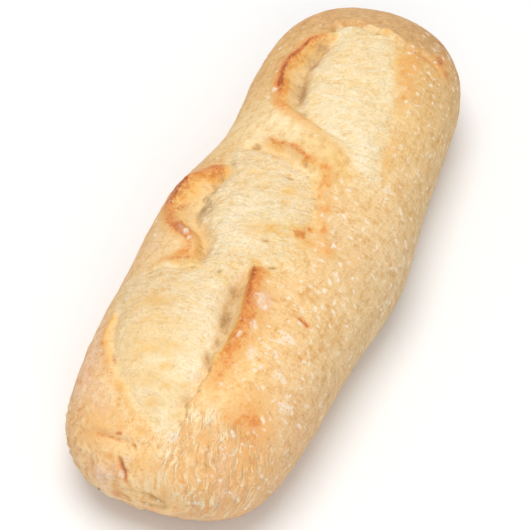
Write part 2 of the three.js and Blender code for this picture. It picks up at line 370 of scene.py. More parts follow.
# lips: A, S, crest height, depth of the valley beside it, width of the wall between them, darkness, orange
# side is which side of the line, seen along it, holds the crumb: +1 left, -1 right
LIPS = {
    "ear_round": dict(side=-1, out=6.0, valley=4.6, burn_and_crease_shade=(-1.1, 0.4), gold=(-2.8, 2.2), over=0.9, foot=0.6, rag=0.14, tan=0.8, dim=1.1, rows=[
        (80.5, -11.5, 0.3, 0.6, 2.5, 0.0, 0.15), (78.4, -12.2, 0.8, 1.3, 3.0, 0.1, 0.5), (74.9, -15.0, 1.6, 2.0, 3.5, 0.55, 0.8),
        (71.8, -17.8, 2.2, 2.6, 3.6, 0.85, 0.9), (68.4, -19.4, 2.7, 2.9, 3.8, 1.0, 0.9), (64.6, -20.6, 3.0, 3.0, 4.0, 1.1, 0.9),
        (61.4, -22.2, 3.2, 3.0, 4.4, 1.1, 0.9), (57.7, -23.0, 3.3, 3.1, 4.9, 1.05, 0.9), (52.8, -23.0, 3.3, 3.4, 5.4, 1.0, 0.9),
        (47.4, -22.0, 3.0, 3.5, 5.6, 1.15, 1.1), (44.5, -21.2, 2.6, 3.2, 5.6, 0.9, 1.1), (42.1, -20.6, 2.2, 2.8, 5.4, 0.35, 1.0), (37.3, -17.2, 1.3, 2.1, 4.6, 0.0, 0.75),
        (33.5, -11.4, 0.9, 1.5, 3.2, 0.0, 0.6), (30.2, -4.2, 0.7, 1.0, 2.4, 0.0, 0.45), (27.6, 2.5, 0.5, 0.7, 2.0, 0.0, 0.3),
        (25.6, 9.5, 0.3, 0.4, 2.0, 0.0, 0.15), (22.0, 16.0, 0.0, 0.0, 2.0, 0.0, 0.0)]),
    "band_rim": dict(side=1, out=3.2, valley=2.6, burn_and_crease_shade=(-0.9, 0.4), gold=(-2.4, 1.5), over=0.5, rag=0.2, dim=0.7, tan=0.25, fray=0.85, gg=1.25, rows=[
        (18.5, -24.0, 0.2, 0.4, 2.2, 0.0, 0.05), (18.9, -18.0, 1.0, 1.3, 2.2, 0.1, 0.25),
        (19.1, -14.7, 1.4, 1.5, 2.2, 0.45, 0.5), (18.2, -11.3, 1.6, 1.5, 2.2, 0.5, 0.55), (17.8, -7.5, 1.7, 1.5, 2.2, 0.6, 0.6),
        (16.9, -3.8, 1.8, 1.5, 2.4, 0.6, 0.65), (15.4, -1.0, 1.8, 1.4, 2.6, 0.6, 0.65), (14.0, 1.8, 1.8, 1.3, 2.8, 0.45, 0.65),
        (13.5, 4.5, 1.6, 1.0, 3.0, 0.25, 0.70), (12.7, 7.4, 1.4, 0.7, 3.2, 0.1, 0.72), (11.1, 9.6, 1.3, 0.5, 3.2, 0.05, 0.72), (5.7, 11.4, 1.1, 0.4, 2.8, 0.0, 0.68),
        (-0.6, 13.8, 1.0, 0.3, 2.8, 0.05, 0.72), (-6.6, 16.2, 0.9, 0.2, 2.8, 0.0, 0.62), (-12.4, 18.7, 0.8, 0.1, 2.8, 0.0, 0.6),
        (-16.5, 21.6, 0.5, 0.2, 2.8, 0.1, 0.6), (-20.4, 25.0, 0.2, 0.1, 2.8, 0.0, 0.3)]),
    "ear_middle": dict(side=-1, out=7.0, valley=4.2, burn_and_crease_shade=(-2.6, 1.6), gold=(-4.4, 2.8), over=1.2, dim=0.7, tan=0.9, fray=0.35, gg=1.1, rows=[
        (6.0, -23.5, 0.3, 0.3, 2.0, 0.0, 0.0), (3.5, -25.0, 1.4, 1.2, 2.5, 0.35, 0.6), (1.6, -27.2, 2.4, 2.0, 3.5, 0.7, 0.95),
        (0.2, -29.8, 3.0, 2.4, 5.0, 0.5, 0.9), (-1.5, -32.6, 3.4, 2.6, 6.5, 0.35, 0.85), (-3.0, -35.1, 3.6, 2.8, 8.0, 0.6, 0.9),
        (-5.1, -37.0, 3.8, 2.9, 9.0, 1.0, 1.0), (-7.9, -37.6, 3.9, 3.0, 9.6, 1.1, 1.0), (-12.1, -36.9, 3.6, 3.0, 9.2, 1.0, 1.0),
        (-16.9, -35.5, 3.0, 3.0, 8.0, 0.6, 0.8), (-20.1, -33.6, 2.5, 3.0, 6.5, 0.5, 0.6), (-23.6, -30.7, 2.3, 3.0, 5.0, 0.55, 0.55),
        (-26.9, -26.1, 2.2, 3.0, 3.6, 0.65, 0.5), (-28.9, -22.3, 2.1, 2.9, 2.8, 0.6, 0.5), (-31.9, -19.3, 2.0, 2.8, 2.4, 0.3, 0.45),
        (-35.8, -17.4, 1.8, 2.6, 2.4, 0.2, 0.55), (-39.0, -16.3, 1.1, 1.8, 2.4, 0.2, 0.6), (-41.0, -15.4, 0.3, 0.6, 2.4, 0.0, 0.2)]),
    "tongue_rim": dict(side=-1, out=3.0, valley=2.2, burn_and_crease_shade=(-0.7, 0.5), gold=(-2.6, 0.8), over=0.4, dim=0.4, fray=0.6, rows=[
        (-38.6, -14.6, 0.2, 0.2, 1.5, 0.0, 0.2), (-40.0, -16.4, 1.0, 1.2, 1.6, 0.55, 1.0), (-40.8, -18.8, 1.4, 1.4, 1.6, 0.6, 1.1),
        (-41.2, -22.4, 1.4, 1.2, 1.6, 0.35, 1.0), (-42.1, -25.8, 0.9, 0.6, 1.6, 0.15, 0.7), (-43.3, -29.4, 0.4, 0.2, 1.6, 0.05, 0.4),
        (-44.8, -33.5, 0.1, 0.0, 1.6, 0.0, 0.1), (-46.0, -38.0, 0.0, 0.0, 1.6, 0.0, 0.0)]),
    "ear_blunt": dict(side=1, out=5.0, valley=3.8, burn_and_crease_shade=(-0.9, 0.3), gold=(-3.4, 1.6), over=1.0, foot=1.0, rag=0.3, tan=0.9, fray=0.3, dim=1.9, gg=1.25, rows=[
        (-37.2, 4.8, 0.4, 0.5, 2.0, 0.5, 0.5), (-38.6, 5.8, 1.8, 1.4, 2.4, 1.05, 1.0), (-40.0, 6.7, 2.8, 2.4, 2.6, 1.1, 1.0),
        (-44.0, 7.7, 3.3, 3.2, 3.6, 1.00, 1.0), (-48.0, 8.7, 3.4, 3.5, 4.6, 0.95, 1.0), (-52.0, 9.4, 3.4, 3.5, 5.4, 0.90, 1.0),
        (-55.9, 10.4, 3.3, 3.4, 5.4, 0.80, 1.0), (-60.0, 10.7, 3.0, 3.2, 4.8, 0.80, 1.0), (-63.8, 11.0, 2.6, 2.8, 4.4, 0.72, 0.95),
        (-67.5, 10.9, 2.1, 2.3, 4.0, 0.6, 0.9), (-71.1, 10.4, 1.7, 1.6, 3.6, 0.45, 0.9), (-74.7, 9.9, 1.4, 0.9, 3.0, 0.25, 0.8),
        (-80.7, 10.1, 1.0, 0.3, 3.0, 0.15, 0.6), (-86.0, 10.2, 0.4, 0.1, 3.0, 0.0, 0.2)]),
    "torn_lip": dict(side=1, out=2.4, valley=2.4, burn_and_crease_shade=(-0.4, 0.4), gold=(-1.0, 0.5), over=0.6, foot=0.9, rag=0.9, rows=[
        (-71.2, 6.2, 0.2, 0.4, 1.0, 0.0, 0.2), (-73.1, 6.9, 1.1, 1.7, 1.2, 0.3, 0.6), (-76.4, 7.9, 1.3, 2.1, 1.3, 0.35, 0.5),
        (-79.1, 8.6, 1.3, 2.1, 1.3, 0.3, 0.4), (-81.9, 8.7, 1.2, 2.0, 1.3, 0.25, 0.3), (-84.7, 7.4, 1.1, 1.9, 1.3, 0.2, 0.3),
        (-88.1, 7.6, 1.1, 1.8, 1.3, 0.2, 0.3), (-91.6, 5.9, 1.0, 1.7, 1.2, 0.25, 0.3), (-95.3, 6.9, 1.0, 1.6, 1.2, 0.15, 0.2),
        (-98.8, 6.4, 0.7, 1.2, 1.2, 0.1, 0.1), (-102.3, 4.9, 0.4, 0.7, 1.2, 0.05, 0.1), (-105.5, 2.5, 0.0, 0.1, 1.2, 0.0, 0.0)]),
    "rim_blunt": dict(side=-1, out=3.4, valley=2.6, burn_and_crease_shade=(-0.4, 0.4), gold=(-1.1, 0.6), over=0.3, dim=0.0, fray=0.7, rows=[
        (-55.0, -38.5, 0.1, 0.1, 2.0, 0.0, 0.2), (-62.0, -36.8, 0.5, 0.4, 2.0, 0.1, 0.6), (-66.5, -35.6, 0.9, 0.9, 2.2, 0.3, 0.8), (-71.4, -35.4, 1.3, 1.0, 2.4, 0.4, 1.0),
        (-75.7, -33.7, 1.4, 1.1, 2.6, 0.35, 1.05), (-80.4, -30.1, 1.2, 1.0, 2.6, 0.2, 0.95), (-84.3, -27.1, 0.9, 0.6, 2.6, 0.1, 0.8),
        (-87.9, -23.7, 0.6, 0.4, 2.4, 0.1, 0.55), (-93.7, -17.0, 0.6, 0.3, 2.0, 0.15, 0.7), (-99.3, -10.7, 0.4, 0.2, 2.0, 0.1, 0.5),
        (-103.7, -3.2, 0.3, 0.3, 1.8, 0.0, 0.2), (-105.5, 1.0, 0.0, 0.0, 1.8, 0.0, 0.0)]),
    "far_crevice": dict(side=1, out=2.4, valley=2.0, burn_and_crease_shade=(-0.4, 0.4), gold=(-0.8, 0.8), over=0.3, foot=0.6, dim=0.7, rows=[
        (79.0, -15.0, 0.0, 0.0, 1.5, 0.0, 0.0), (83.5, -13.1, 0.6, 1.5, 1.4, 0.05, 0.0), (87.1, -11.0, 0.7, 1.8, 1.4, 0.1, 0.0),
        (90.0, -6.9, 0.7, 1.7, 1.4, 0.1, 0.0), (90.3, -2.6, 0.7, 1.6, 1.4, 0.1, 0.0), (88.9, 0.4, 0.6, 1.8, 1.4, 0.2, 0.1),
        (88.1, 3.4, 0.8, 1.9, 1.4, 0.15, 0.22), (88.6, 7.0, 1.0, 1.0, 1.8, 0.15, 0.25), (86.8, 10.5, 0.7, 0.3, 2.0, 0.1, 0.25),
        (85.0, 14.0, 0.2, 0.1, 2.0, 0.0, 0.2)]),
}

# crust folds and cracks: A, S, height (negative is a groove), half width
FOLDS = [
    [(88.5, 5.3, 0.3, 1.6), (87.1, 8.4, 0.7, 1.7), (85.8, 11.5, 0.9, 1.8), (85.8, 15.1, 1.0, 1.9), (86.0, 19.1, 0.9, 1.9),
     (86.7, 23.1, 0.9, 1.9), (86.0, 27.4, 0.8, 1.9), (84.1, 31.7, 0.5, 1.9), (80.0, 37.0, 0.1, 2.0)],
    [(84.0, 14.0, 0.0, 1.2), (83.2, 19.0, -0.5, 1.2), (83.6, 24.0, -0.5, 1.2), (82.0, 30.0, -0.3, 1.2), (79.0, 34.0, 0.0, 1.2)],
    [(-47.2, 24.0, 0.0, 0.7), (-47.4, 25.6, -0.5, 0.7), (-47.5, 28.2, -0.7, 0.8), (-48.1, 31.0, -0.6, 0.8), (-48.7, 33.6, 0.0, 0.7)],
    [(-115.0, -10.6, 0.0, 0.8), (-115.9, -9.9, -0.6, 0.8), (-118.1, -8.6, -0.9, 0.9), (-120.3, -7.1, -0.8, 0.9), (-123.3, -6.6, -0.3, 0.9)],
    [(-107.6, -29.5, 0.1, 1.4), (-105.4, -25.6, 0.6, 1.4), (-106.0, -20.5, 0.7, 1.3), (-106.8, -15.6, 0.7, 1.3),
     (-107.4, -11.7, 0.6, 1.2), (-107.1, -7.2, 0.5, 1.2), (-107.0, -2.0, 0.2, 1.2)],
    [(-108.6, -24.0, 0.0, 1.0), (-108.6, -20.0, -0.4, 1.0), (-109.3, -15.0, -0.5, 1.0), (-109.6, -10.0, -0.4, 1.0), (-109.2, -5.0, 0.0, 1.0)],
]

# single marks: kind, A, S, half length, half width, angle from the A axis, strength, relief; the olive-brown shade
# marks are painted shade in pits, cracks and valleys, and brown marks are baked colour that, where they dent the
# surface, is also painted shade in the crack or pit
MARKS = [
    ("gold", -50.0, 24.0, 15.0, 9.0, 0, 0.15, 0.0), ("gold", -34.0, 34.0, 18.0, 9.0, 0, 0.10, 0.0), ("gold", 2.0, 13.2, 8.0, 1.6, -20, 0.40, 0.0),
    ("gold", -8.0, 17.0, 7.0, 1.8, -22, 0.35, 0.0), ("gold", -20.0, 33.0, 14.0, 6.0, 0, 0.10, 0.0), ("gold", 70.0, 19.5, 8.0, 2.4, 0, 0.35, 0.0),
    ("gold", -104.0, 15.0, 8.0, 7.0, 0, 0.45, 0.0), ("gold", -112.0, 18.0, 8.0, 9.0, 0, 0.35, 0.0), ("pink", -108.0, 22.0, 9.0, 9.0, 0, 0.30, 0.0), ("gold", -110.0, 26.0, 7.0, 10.0, 0, 0.35, 0.0),
    ("gold", -90.0, 26.0, 8.0, 7.0, 20, 0.8, 0.0), ("gold", -98.0, 32.0, 8.0, 8.0, 0, 0.5, 0.0), ("pink", -92.0, 32.0, 8.0, 8.0, 0, 0.4, 0.0),
    ("gold", -118.0, 6.0, 6.0, 10.0, 0, 0.3, 0.0), ("gold", -106.0, -22.0, 8.0, 10.0, 0, 0.45, 0.0), ("pink", -88.0, -38.0, 12.0, 8.0, 0, 0.6, 0.0),
    ("painted_shade", -16.4, -23.8, 4.2, 3.2, -87, 0.70, -0.9), ("painted_shade", -6.4, -24.7, 3.7, 1.6, -23, 0.60, -0.5),
    ("painted_shade", -3.3, -26.2, 1.8, 1.0, -75, 0.90, -0.6), ("painted_shade", -0.2, -24.9, 1.3, 1.1, -18, 0.60, -0.4),
    ("painted_shade", 6.8, -23.3, 2.4, 1.6, -27, 0.65, -0.5), ("painted_shade", 16.6, -19.5, 2.0, 1.0, 79, 1.10, -0.9),
    ("painted_shade", 11.9, -14.8, 5.8, 1.1, 80, 0.22, 0.0), ("painted_shade", 14.2, -4.5, 2.9, 0.6, -25, 0.45, -0.3),
    ("painted_shade", 12.4, 1.5, 1.2, 0.8, -63, 0.70, -0.5), ("painted_shade", 4.3, -0.7, 1.8, 0.9, -87, 0.80, -0.7),
    ("painted_shade", 7.9, 4.3, 1.7, 0.7, -25, 0.50, -0.3), ("painted_shade", -0.2, 10.5, 1.0, 0.8, -78, 0.60, -0.3),
    ("painted_shade", -3.3, 12.3, 1.8, 0.7, -23, 0.70, -0.4), ("painted_shade", -13.6, -13.8, 1.7, 0.7, 81, 0.40, -0.3),
    ("painted_shade", -13.0, -9.6, 0.5, 0.4, 78, 0.70, -0.5), ("painted_shade", -25.8, 3.9, 1.3, 0.6, 86, 0.90, -0.7),
    ("painted_shade", -32.8, -16.7, 1.2, 0.8, -80, 0.70, -0.5), ("painted_shade", -30.2, -19.5, 1.3, 0.9, -62, 0.50, -0.3),
    ("painted_shade", -36.6, -14.0, 4.4, 2.0, -30, 0.55, -0.4), ("painted_shade", -36.2, -8.7, 1.3, 0.5, 76, 0.60, -0.4),
    ("painted_shade", -43.0, -5.0, 1.0, 0.5, 51, 0.90, -0.8), ("painted_shade", -29.7, 8.8, 1.0, 0.5, 61, 0.50, -0.4),
    ("painted_shade", -35.0, 10.5, 1.7, 0.6, 61, 1.00, -0.7), ("painted_shade", -47.9, 3.0, 2.5, 2.0, -26, 0.90, -0.6),
    ("painted_shade", -53.6, 3.1, 2.4, 1.0, -17, 0.70, -0.5), ("painted_shade", -56.5, 4.7, 1.4, 0.8, -25, 1.00, -0.6),
    ("painted_shade", -61.6, 5.9, 3.1, 1.0, -18, 0.75, -0.5), ("painted_shade", -67.0, 6.8, 2.6, 1.0, -11, 0.45, -0.2),
    ("painted_shade", -75.7, 5.6, 3.2, 1.0, -30, 0.80, -0.5), ("painted_shade", -79.0, 8.0, 1.2, 0.6, -24, 0.90, -0.5),
    ("painted_shade", -82.8, 7.2, 1.5, 0.7, 41, 0.60, -0.3), ("painted_shade", -87.2, 7.3, 1.1, 0.5, 68, 0.80, -0.5),
    ("painted_shade", -90.0, 5.3, 1.1, 0.5, 56, 0.70, -0.4), ("painted_shade", -92.6, 5.0, 1.0, 0.9, -25, 0.90, -0.5),
    ("painted_shade", -95.9, 6.6, 1.6, 0.6, -11, 0.60, -0.3), ("painted_shade", -99.0, 5.7, 1.0, 1.0, -58, 0.60, -0.3),
    ("painted_shade", -102.0, 4.1, 0.7, 0.6, 77, 0.50, -0.3), ("brown", -82.3, -26.1, 3.8, 0.6, -39, 0.75, -0.5),
    ("painted_shade", -63.8, -30.1, 1.9, 0.8, -83, 0.40, -0.3), ("painted_shade", -66.4, -29.6, 1.3, 0.4, -89, 0.50, -0.3),
    ("painted_shade", -95.0, -2.0, 1.3, 1.0, 77, 0.30, -0.2), ("painted_shade", -96.6, -11.9, 0.8, 0.6, -57, 0.40, -0.3),
    ("painted_shade", -88.6, -19.8, 1.3, 0.9, -55, 0.25, -0.1), ("brown", -107.3, -12.8, 1.4, 0.4, 89, 0.80, -0.5),
    ("brown", -106.1, -1.3, 1.3, 0.4, 27, 0.60, -0.5), ("brown", -110.3, -6.5, 1.4, 0.5, -43, 0.70, -0.5),
    ("brown", -108.3, 1.3, 1.1, 0.5, -28, 0.60, -0.4), ("painted_shade", -126.7, 3.3, 4.6, 1.7, -77, 0.60, -0.6),
    ("painted_shade", -127.4, 13.4, 18.1, 1.0, -85, 0.90, -0.6), ("painted_shade", -122.5, 15.0, 4.0, 14.0, 0, 0.30, 0.0), ("brown", -118.7, -20.5, 3.0, 1.2, 31, 0.50, -0.6),
    ("brown", -117.4, -24.4, 3.1, 0.9, 68, 0.30, -0.4), ("painted_shade", -122.3, 17.1, 4.1, 1.1, 63, 0.40, -0.3),
    ("painted_shade", -125.2, 9.4, 5.5, 1.9, 61, 0.25, -0.2), ("brown", -120.4, -7.5, 3.2, 0.7, -26, 1.00, -0.9),
    ("brown", -116.2, -9.4, 1.7, 0.6, -34, 0.80, -0.6), ("brown", -125.3, -14.9, 7.3, 0.4, -78, 0.60, -0.4),
    ("painted_shade", -126.9, -2.3, 4.5, 0.4, 65, 0.35, -0.4), ("painted_shade", 47.9, -14.9, 7.0, 2.3, -18, 1.00, -0.7),
    ("painted_shade", 56.8, -17.2, 2.7, 2.0, -65, 0.60, -0.3), ("painted_shade", 63.5, -15.2, 4.2, 2.4, 5, 0.85, -0.5),
    ("painted_shade", 70.4, -13.8, 4.0, 2.6, 16, 0.75, -0.4), ("painted_shade", 81.9, -12.9, 2.3, 1.4, 5, 0.80, -0.4),
    ("painted_shade", 80.9, -2.7, 1.3, 0.6, 64, 0.50, -0.4), ("painted_shade", 85.2, 3.0, 1.9, 1.5, 27, 0.90, -0.6),
    ("painted_shade", 36.2, -9.7, 3.2, 1.7, -57, 0.55, -0.3), ("painted_shade", 44.0, 1.6, 1.1, 0.5, 68, 0.40, -0.3),
    ("gold", 54.5, 11.4, 1.8, 0.8, 78, 0.50, -0.3), ("painted_shade", 26.1, 11.7, 1.4, 0.7, 59, 0.30, -0.2),
    ("painted_shade", 85.0, -3.2, 3.7, 1.1, 75, 0.30, -0.2), ("gold", -20.4, 3.9, 4.3, 2.2, 74, 0.45, 0.0),
    ("gold", -2.3, 1.9, 3.0, 2.3, 71, 0.32, 0.0), ("gold", -17.4, 12.8, 2.7, 2.1, -85, 1.05, 0.2),
    ("brown", -18.1, 13.5, 2.0, 1.3, 89, 0.45, 0.0), ("brown", -14.0, 13.8, 1.7, 0.9, 60, 0.50, 0.0),
    ("gold", -19.0, 16.1, 2.7, 2.5, -75, 0.60, 0.0), ("gold", -18.8, 23.9, 2.8, 2.4, 64, 0.70, 0.2),
    ("gold", 2.5, -14.8, 5.7, 2.5, 83, 0.22, 0.0), ("gold", -76.3, -19.2, 4.9, 2.6, -87, 0.32, 0.0),
    ("gold", -52.5, -12.9, 14.0, 1.7, 80, 0.20, 0.0), ("gold", -66.7, -15.5, 7.1, 2.0, 83, 0.18, 0.0),
    ("gold", -85.0, -10.7, 5.4, 2.8, 82, 0.16, 0.0), ("gold", -67.3, 13.3, 2.3, 1.1, 63, 0.75, 0.0),
    ("gold", -73.9, 9.4, 2.1, 1.3, -7, 0.70, 0.0), ("gold", -79.1, 11.3, 3.1, 1.6, -22, 0.75, 0.2),
    ("gold", -90.2, 11.4, 4.5, 1.6, 66, 0.30, 0.0), ("gold", -88.2, 26.5, 4.6, 2.5, 65, 1.05, 0.0),
    ("brown", -87.8, 28.4, 2.2, 1.5, 53, 0.45, 0.0), ("brown", -87.7, 24.4, 1.7, 0.9, 59, 0.40, 0.0),
    ("gold", -92.8, 28.3, 4.8, 2.4, 57, 0.75, 0.0), ("brown", -91.7, 29.4, 2.3, 0.9, 57, 0.30, 0.0),
    ("gold", -109.5, 17.7, 5.2, 4.4, 47, 0.50, 0.0), ("gold", -105.6, 25.2, 5.2, 4.0, 53, 0.50, 0.0),
    ("gold", -113.7, 22.3, 7.6, 2.8, 61, 0.50, 0.0), ("gold", -113.3, 19.4, 3.6, 1.7, 61, 0.30, 0.0),
    ("pink", -104.6, 24.8, 2.9, 2.3, 52, 0.50, 0.0), ("pink", -91.8, 27.0, 3.7, 3.0, 48, 0.40, 0.0),
    ("gold", -115.3, -13.7, 3.0, 1.6, -80, 0.80, 0.0), ("pink", -121.0, -14.5, 6.1, 4.2, 77, 0.72, 0.9), ("gold", -118.0, -10.5, 3.0, 1.4, 60, 0.6, 0.0),
    ("pink", -95.6, -25.7, 14.6, 4.5, -46, 0.50, 0.0), ("gold", -105.5, -13.9, 3.5, 1.0, 86, 0.55, 0.0),
    ("gold", -104.6, -5.6, 3.3, 2.0, 78, 0.45, 0.0), ("gold", -114.0, 3.7, 4.0, 2.3, 68, 0.40, 0.0),
    ("gold", -108.7, -22.7, 4.6, 3.2, -47, 0.45, 0.0), ("gold", -115.3, -4.7, 3.1, 2.4, 73, 0.35, 0.0),
    ("gold", -104.4, 12.0, 2.0, 1.5, 64, 0.40, 0.0), ("brown", -40.5, 6.4, 2.1, 1.2, -22, 1.10, 0.4),
    ("gold", -38.8, 9.2, 2.3, 1.7, 88, 1.10, 0.0), ("brown", -38.7, 8.5, 1.2, 1.0, -20, 0.60, 0.0),
    ("pink", -49.5, 13.3, 3.6, 2.9, -13, 0.90, 0.0), ("brown", -46.5, 16.3, 2.6, 0.6, 84, 0.50, -0.2),
    ("brown", -44.5, 12.5, 2.7, 0.6, -76, 0.35, -0.1), ("brown", -47.6, 28.7, 3.0, 0.6, -82, 0.85, -0.7),
    ("brown", -59.7, 33.7, 2.6, 0.7, -67, 0.50, -0.4), ("gold", -59.0, 32.5, 2.7, 2.3, 81, 0.40, 0.0),
    ("pink", -54.1, 17.5, 4.8, 3.7, 49, 0.30, 0.0), ("pink", -77.1, 45.1, 7.8, 3.6, 58, 0.35, 0.0),
    ("gold", 87.4, 6.2, 2.3, 1.7, 13, 0.42, 0.0), ("gold", 27.4, 26.0, 7.9, 1.9, -15, 0.45, 0.0),
    ("gold", 37.3, 25.3, 8.7, 2.0, -16, 0.40, 0.0), ("gold", 76.4, 18.5, 5.3, 3.5, 11, 0.70, 0.0),
    ("gold", 67.3, 20.0, 5.8, 2.8, -10, 0.50, 0.0), ("gold", 55.1, 21.7, 5.4, 2.4, -12, 0.40, 0.0),
    ("gold", -38.0, -20.6, 3.4, 2.0, 75, 1.00, 0.0), ("gold", -40.1, -26.2, 3.7, 1.6, 82, 0.55, 0.0),
    ("cream", -42.9, -22.6, 4.2, 1.6, 82, 0.80, 0.0), ("brown", -44.7, -22.3, 1.8, 0.6, 77, 0.40, -0.2),
    ("brown", 88.0, 29.1, 3.4, 1.8, -2, 0.90, 0.0), ("gold", 86.0, 30.0, 6.0, 4.0, -2, 0.60, 0.0), ("brown", 84.4, 33.9, 2.0, 1.6, 14, 0.60, 0.0),
    ("pink", -28.3, -24.7, 4.8, 1.8, -57, 0.60, 0.0), ("pink", -34.5, -33.6, 3.9, 2.6, -50, 0.50, 0.0),
    ("flour", -56.4, 26.1, 3.3, 1.1, -84, 1.00, 0.1), ("flour", -59.1, 24.7, 1.7, 0.8, 88, 0.80, 0.1),
    ("flour", -64.4, 24.8, 1.7, 1.1, -30, 0.80, 0.1), ("flour", -68.6, 17.8, 2.5, 2.0, -15, 0.55, 0.1),
    ("flour", -69.7, 29.4, 1.6, 1.1, -67, 0.80, 0.1), ("flour", -76.6, 25.9, 0.9, 0.8, 40, 0.70, 0.1),
    ("flour", -77.5, 35.8, 2.6, 1.8, 51, 0.70, 0.1), ("flour", -44.8, 26.5, 1.2, 0.8, 71, 0.70, 0.1),
    ("flour", -44.0, 23.0, 1.3, 0.7, -21, 0.60, 0.1), ("flour", -43.3, 32.0, 1.2, 0.7, -51, 0.70, 0.1),
    ("flour", -25.7, 30.6, 1.8, 0.8, -46, 0.90, 0.1), ("flour", -70.8, 22.8, 1.1, 1.0, 30, 0.50, 0.1),
    ("flour", -59.0, 14.3, 1.8, 1.0, -30, 0.80, 0.1), ("flour", -73.8, 35.1, 1.0, 0.8, -14, 0.60, 0.1),
    ("flour", -49.0, 27.4, 1.1, 0.8, 89, 0.80, 0.1), ("flour", -48.5, 32.1, 1.2, 0.5, 90, 0.80, 0.1),
    ("flour", -56.5, 35.2, 1.6, 0.7, -49, 0.50, 0.1), ("flour", -39.9, 16.7, 0.8, 0.7, -2, 0.50, 0.1),
    ("flour", 10.6, 15.3, 0.8, 0.5, 88, 1.00, 0.1), ("flour", 17.8, 30.3, 1.6, 1.1, 5, 0.80, 0.1),
    ("flour", 8.6, 19.3, 1.1, 0.7, 83, 0.80, 0.1), ("flour", 11.2, 20.8, 0.8, 0.6, 36, 0.60, 0.1),
    ("flour", 12.0, 29.9, 1.1, 0.7, 36, 0.70, 0.1), ("flour", 6.8, 31.1, 0.9, 0.6, 35, 0.60, 0.1),
    ("flour", 25.0, -0.3, 0.9, 0.7, 63, 0.60, 0.1), ("flour", 23.4, -7.8, 0.8, 0.6, 82, 0.60, 0.1),
    ("flour", 45.3, -23.9, 1.4, 0.7, -34, 1.00, 0.1), ("flour", 42.4, -25.8, 1.3, 0.7, -58, 0.80, 0.1),
    ("flour", -29.2, -23.5, 1.7, 0.7, -36, 1.00, 0.1), ("flour", -28.3, -37.4, 1.7, 0.6, -58, 0.80, 0.1),
    ("flour", -120.6, -8.2, 1.4, 0.5, -28, 0.90, 0.1), ("flour", -50.8, 14.9, 1.2, 0.7, -8, 0.80, 0.1),
    ("flour", -48.9, 12.0, 2.0, 1.3, -21, 0.50, 0.1), ("flour", -64.3, 11.9, 1.4, 0.5, 3, 0.70, 0.1),
    ("flour", -5.1, 18.7, 0.9, 0.7, -11, 0.50, 0.1), ("flour", -10.4, 21.9, 1.2, 0.7, -20, 0.60, 0.1),
    ("flour", -14.1, 23.6, 0.8, 0.7, -7, 0.50, 0.1), ("flour", 63.4, 20.8, 1.3, 0.8, 39, 0.70, 0.1),
    ("flour", 36.0, 32.7, 1.3, 0.9, -2, 0.50, 0.1), ("flour", -30.7, 37.5, 1.7, 0.6, -59, 0.40, 0.1),
    ("flour", -37.8, 22.1, 1.2, 0.8, -12, 0.50, 0.1), ("flour", -122.6, -14.6, 3.6, 1.4, -90, 0.35, 0.1),
    ("flour", -117.4, 2.8, 1.0, 0.7, 62, 0.50, 0.1), ("flour", -115.3, -7.2, 1.4, 0.7, -36, 0.70, 0.1),
    ("flour", -122.7, 1.3, 2.0, 0.7, -4, 0.50, 0.1), ("flour", -122.9, -2.5, 2.5, 0.6, -5, 0.50, 0.1),
    ("flour", -103.9, 4.5, 2.3, 1.6, 71, 0.80, 0.1), ("flour", -76.2, 15.7, 1.3, 1.0, -20, 0.35, 0.1),
    ("flour", -63.8, 65.3, 1.8, 0.4, 4, 0.30, 0.1), ("flour", -68.3, 36.8, 1.6, 1.3, -20, 0.35, 0.1),
    ("flour", -94.0, 18.3, 1.4, 1.2, 40, 0.25, 0.1), ("tan", 12.4, -15.0, 12.5, 5.3, -86, 0.80, 0.0),
    ("tan", 58.6, -8.7, 15.7, 3.8, -11, 0.35, 0.0), ("tan", -3.3, 6.4, 9.1, 4.7, -24, 0.40, 0.0),
    ("tan", -40.2, -11.3, 5.6, 3.9, -36, 0.50, 0.0), ("tan", -54.6, 3.5, 10.0, 3.3, -12, 0.40, 0.0),
    ("tan", 65.7, -3.1, 13.0, 6.3, 71, 0.25, 0.0), ("gold", -51.9, 8.1, 8.7, 1.3, -17, 0.50, 0.0),
    ("white", -68.1, 1.3, 9.3, 3.3, -16, 0.50, 0.0), ("white", -83.0, 2.4, 5.5, 4.5, -30, 0.60, 0.0),
    ("white", -102.4, 1.6, 3.9, 2.6, 74, 0.70, 0.0), ("white", -13.0, -13.0, 9.0, 4.0, -29, 0.40, 0.0),
    ("white", -27.6, -4.3, 5.4, 4.5, 84, 0.40, 0.0), ("white", 35.3, 6.6, 7.4, 6.7, 26, 0.35, 0.0),
    ("white", 24.2, 18.6, 4.9, 3.9, 19, 0.40, 0.0), ("white", 8.6, 1.0, 2.7, 2.4, 74, 0.50, 0.0),
    ("brown", -8.5, -35.4, 6.5, 1.5, 8, 0.80, 0.5), ("brown", -16.5, -32.8, 4.0, 1.6, 20, 0.75, -0.4), ("gold", -9.0, -34.0, 9.0, 2.2, 8, 0.70, 0.0),
    ("brown", -3.0, -36.0, 3.0, 1.6, 30, 0.50, 0.5), ("gold", -10.0, -43.0, 12.0, 4.5, 8, 0.60, 0.0),
    ("gold", -58.0, 13.5, 6.0, 2.6, -6, 0.60, 0.0), ("gold", -66.0, 15.0, 8.0, 2.4, 0, 0.60, 0.0), ("gold", -74.0, 13.5, 6.0, 2.4, 0, 0.60, 0.0),
    ("gold", 74.0, 20.5, 4.0, 3.0, 11, 0.60, 0.0), ("gold", 64.0, 22.0, 3.4, 2.4, -10, 0.55, 0.0),
    ("brown", -50.5, 11.0, 3.4, 0.8, -14, 0.40, 0.0), ("brown", -57.0, 12.8, 3.4, 1.0, -10, 0.50, 0.0),
    ("brown", -62.5, 13.2, 3.2, 1.0, 4, 0.45, 0.0), ("brown", -43.5, 9.4, 2.2, 0.9, -20, 0.55, 0.0),
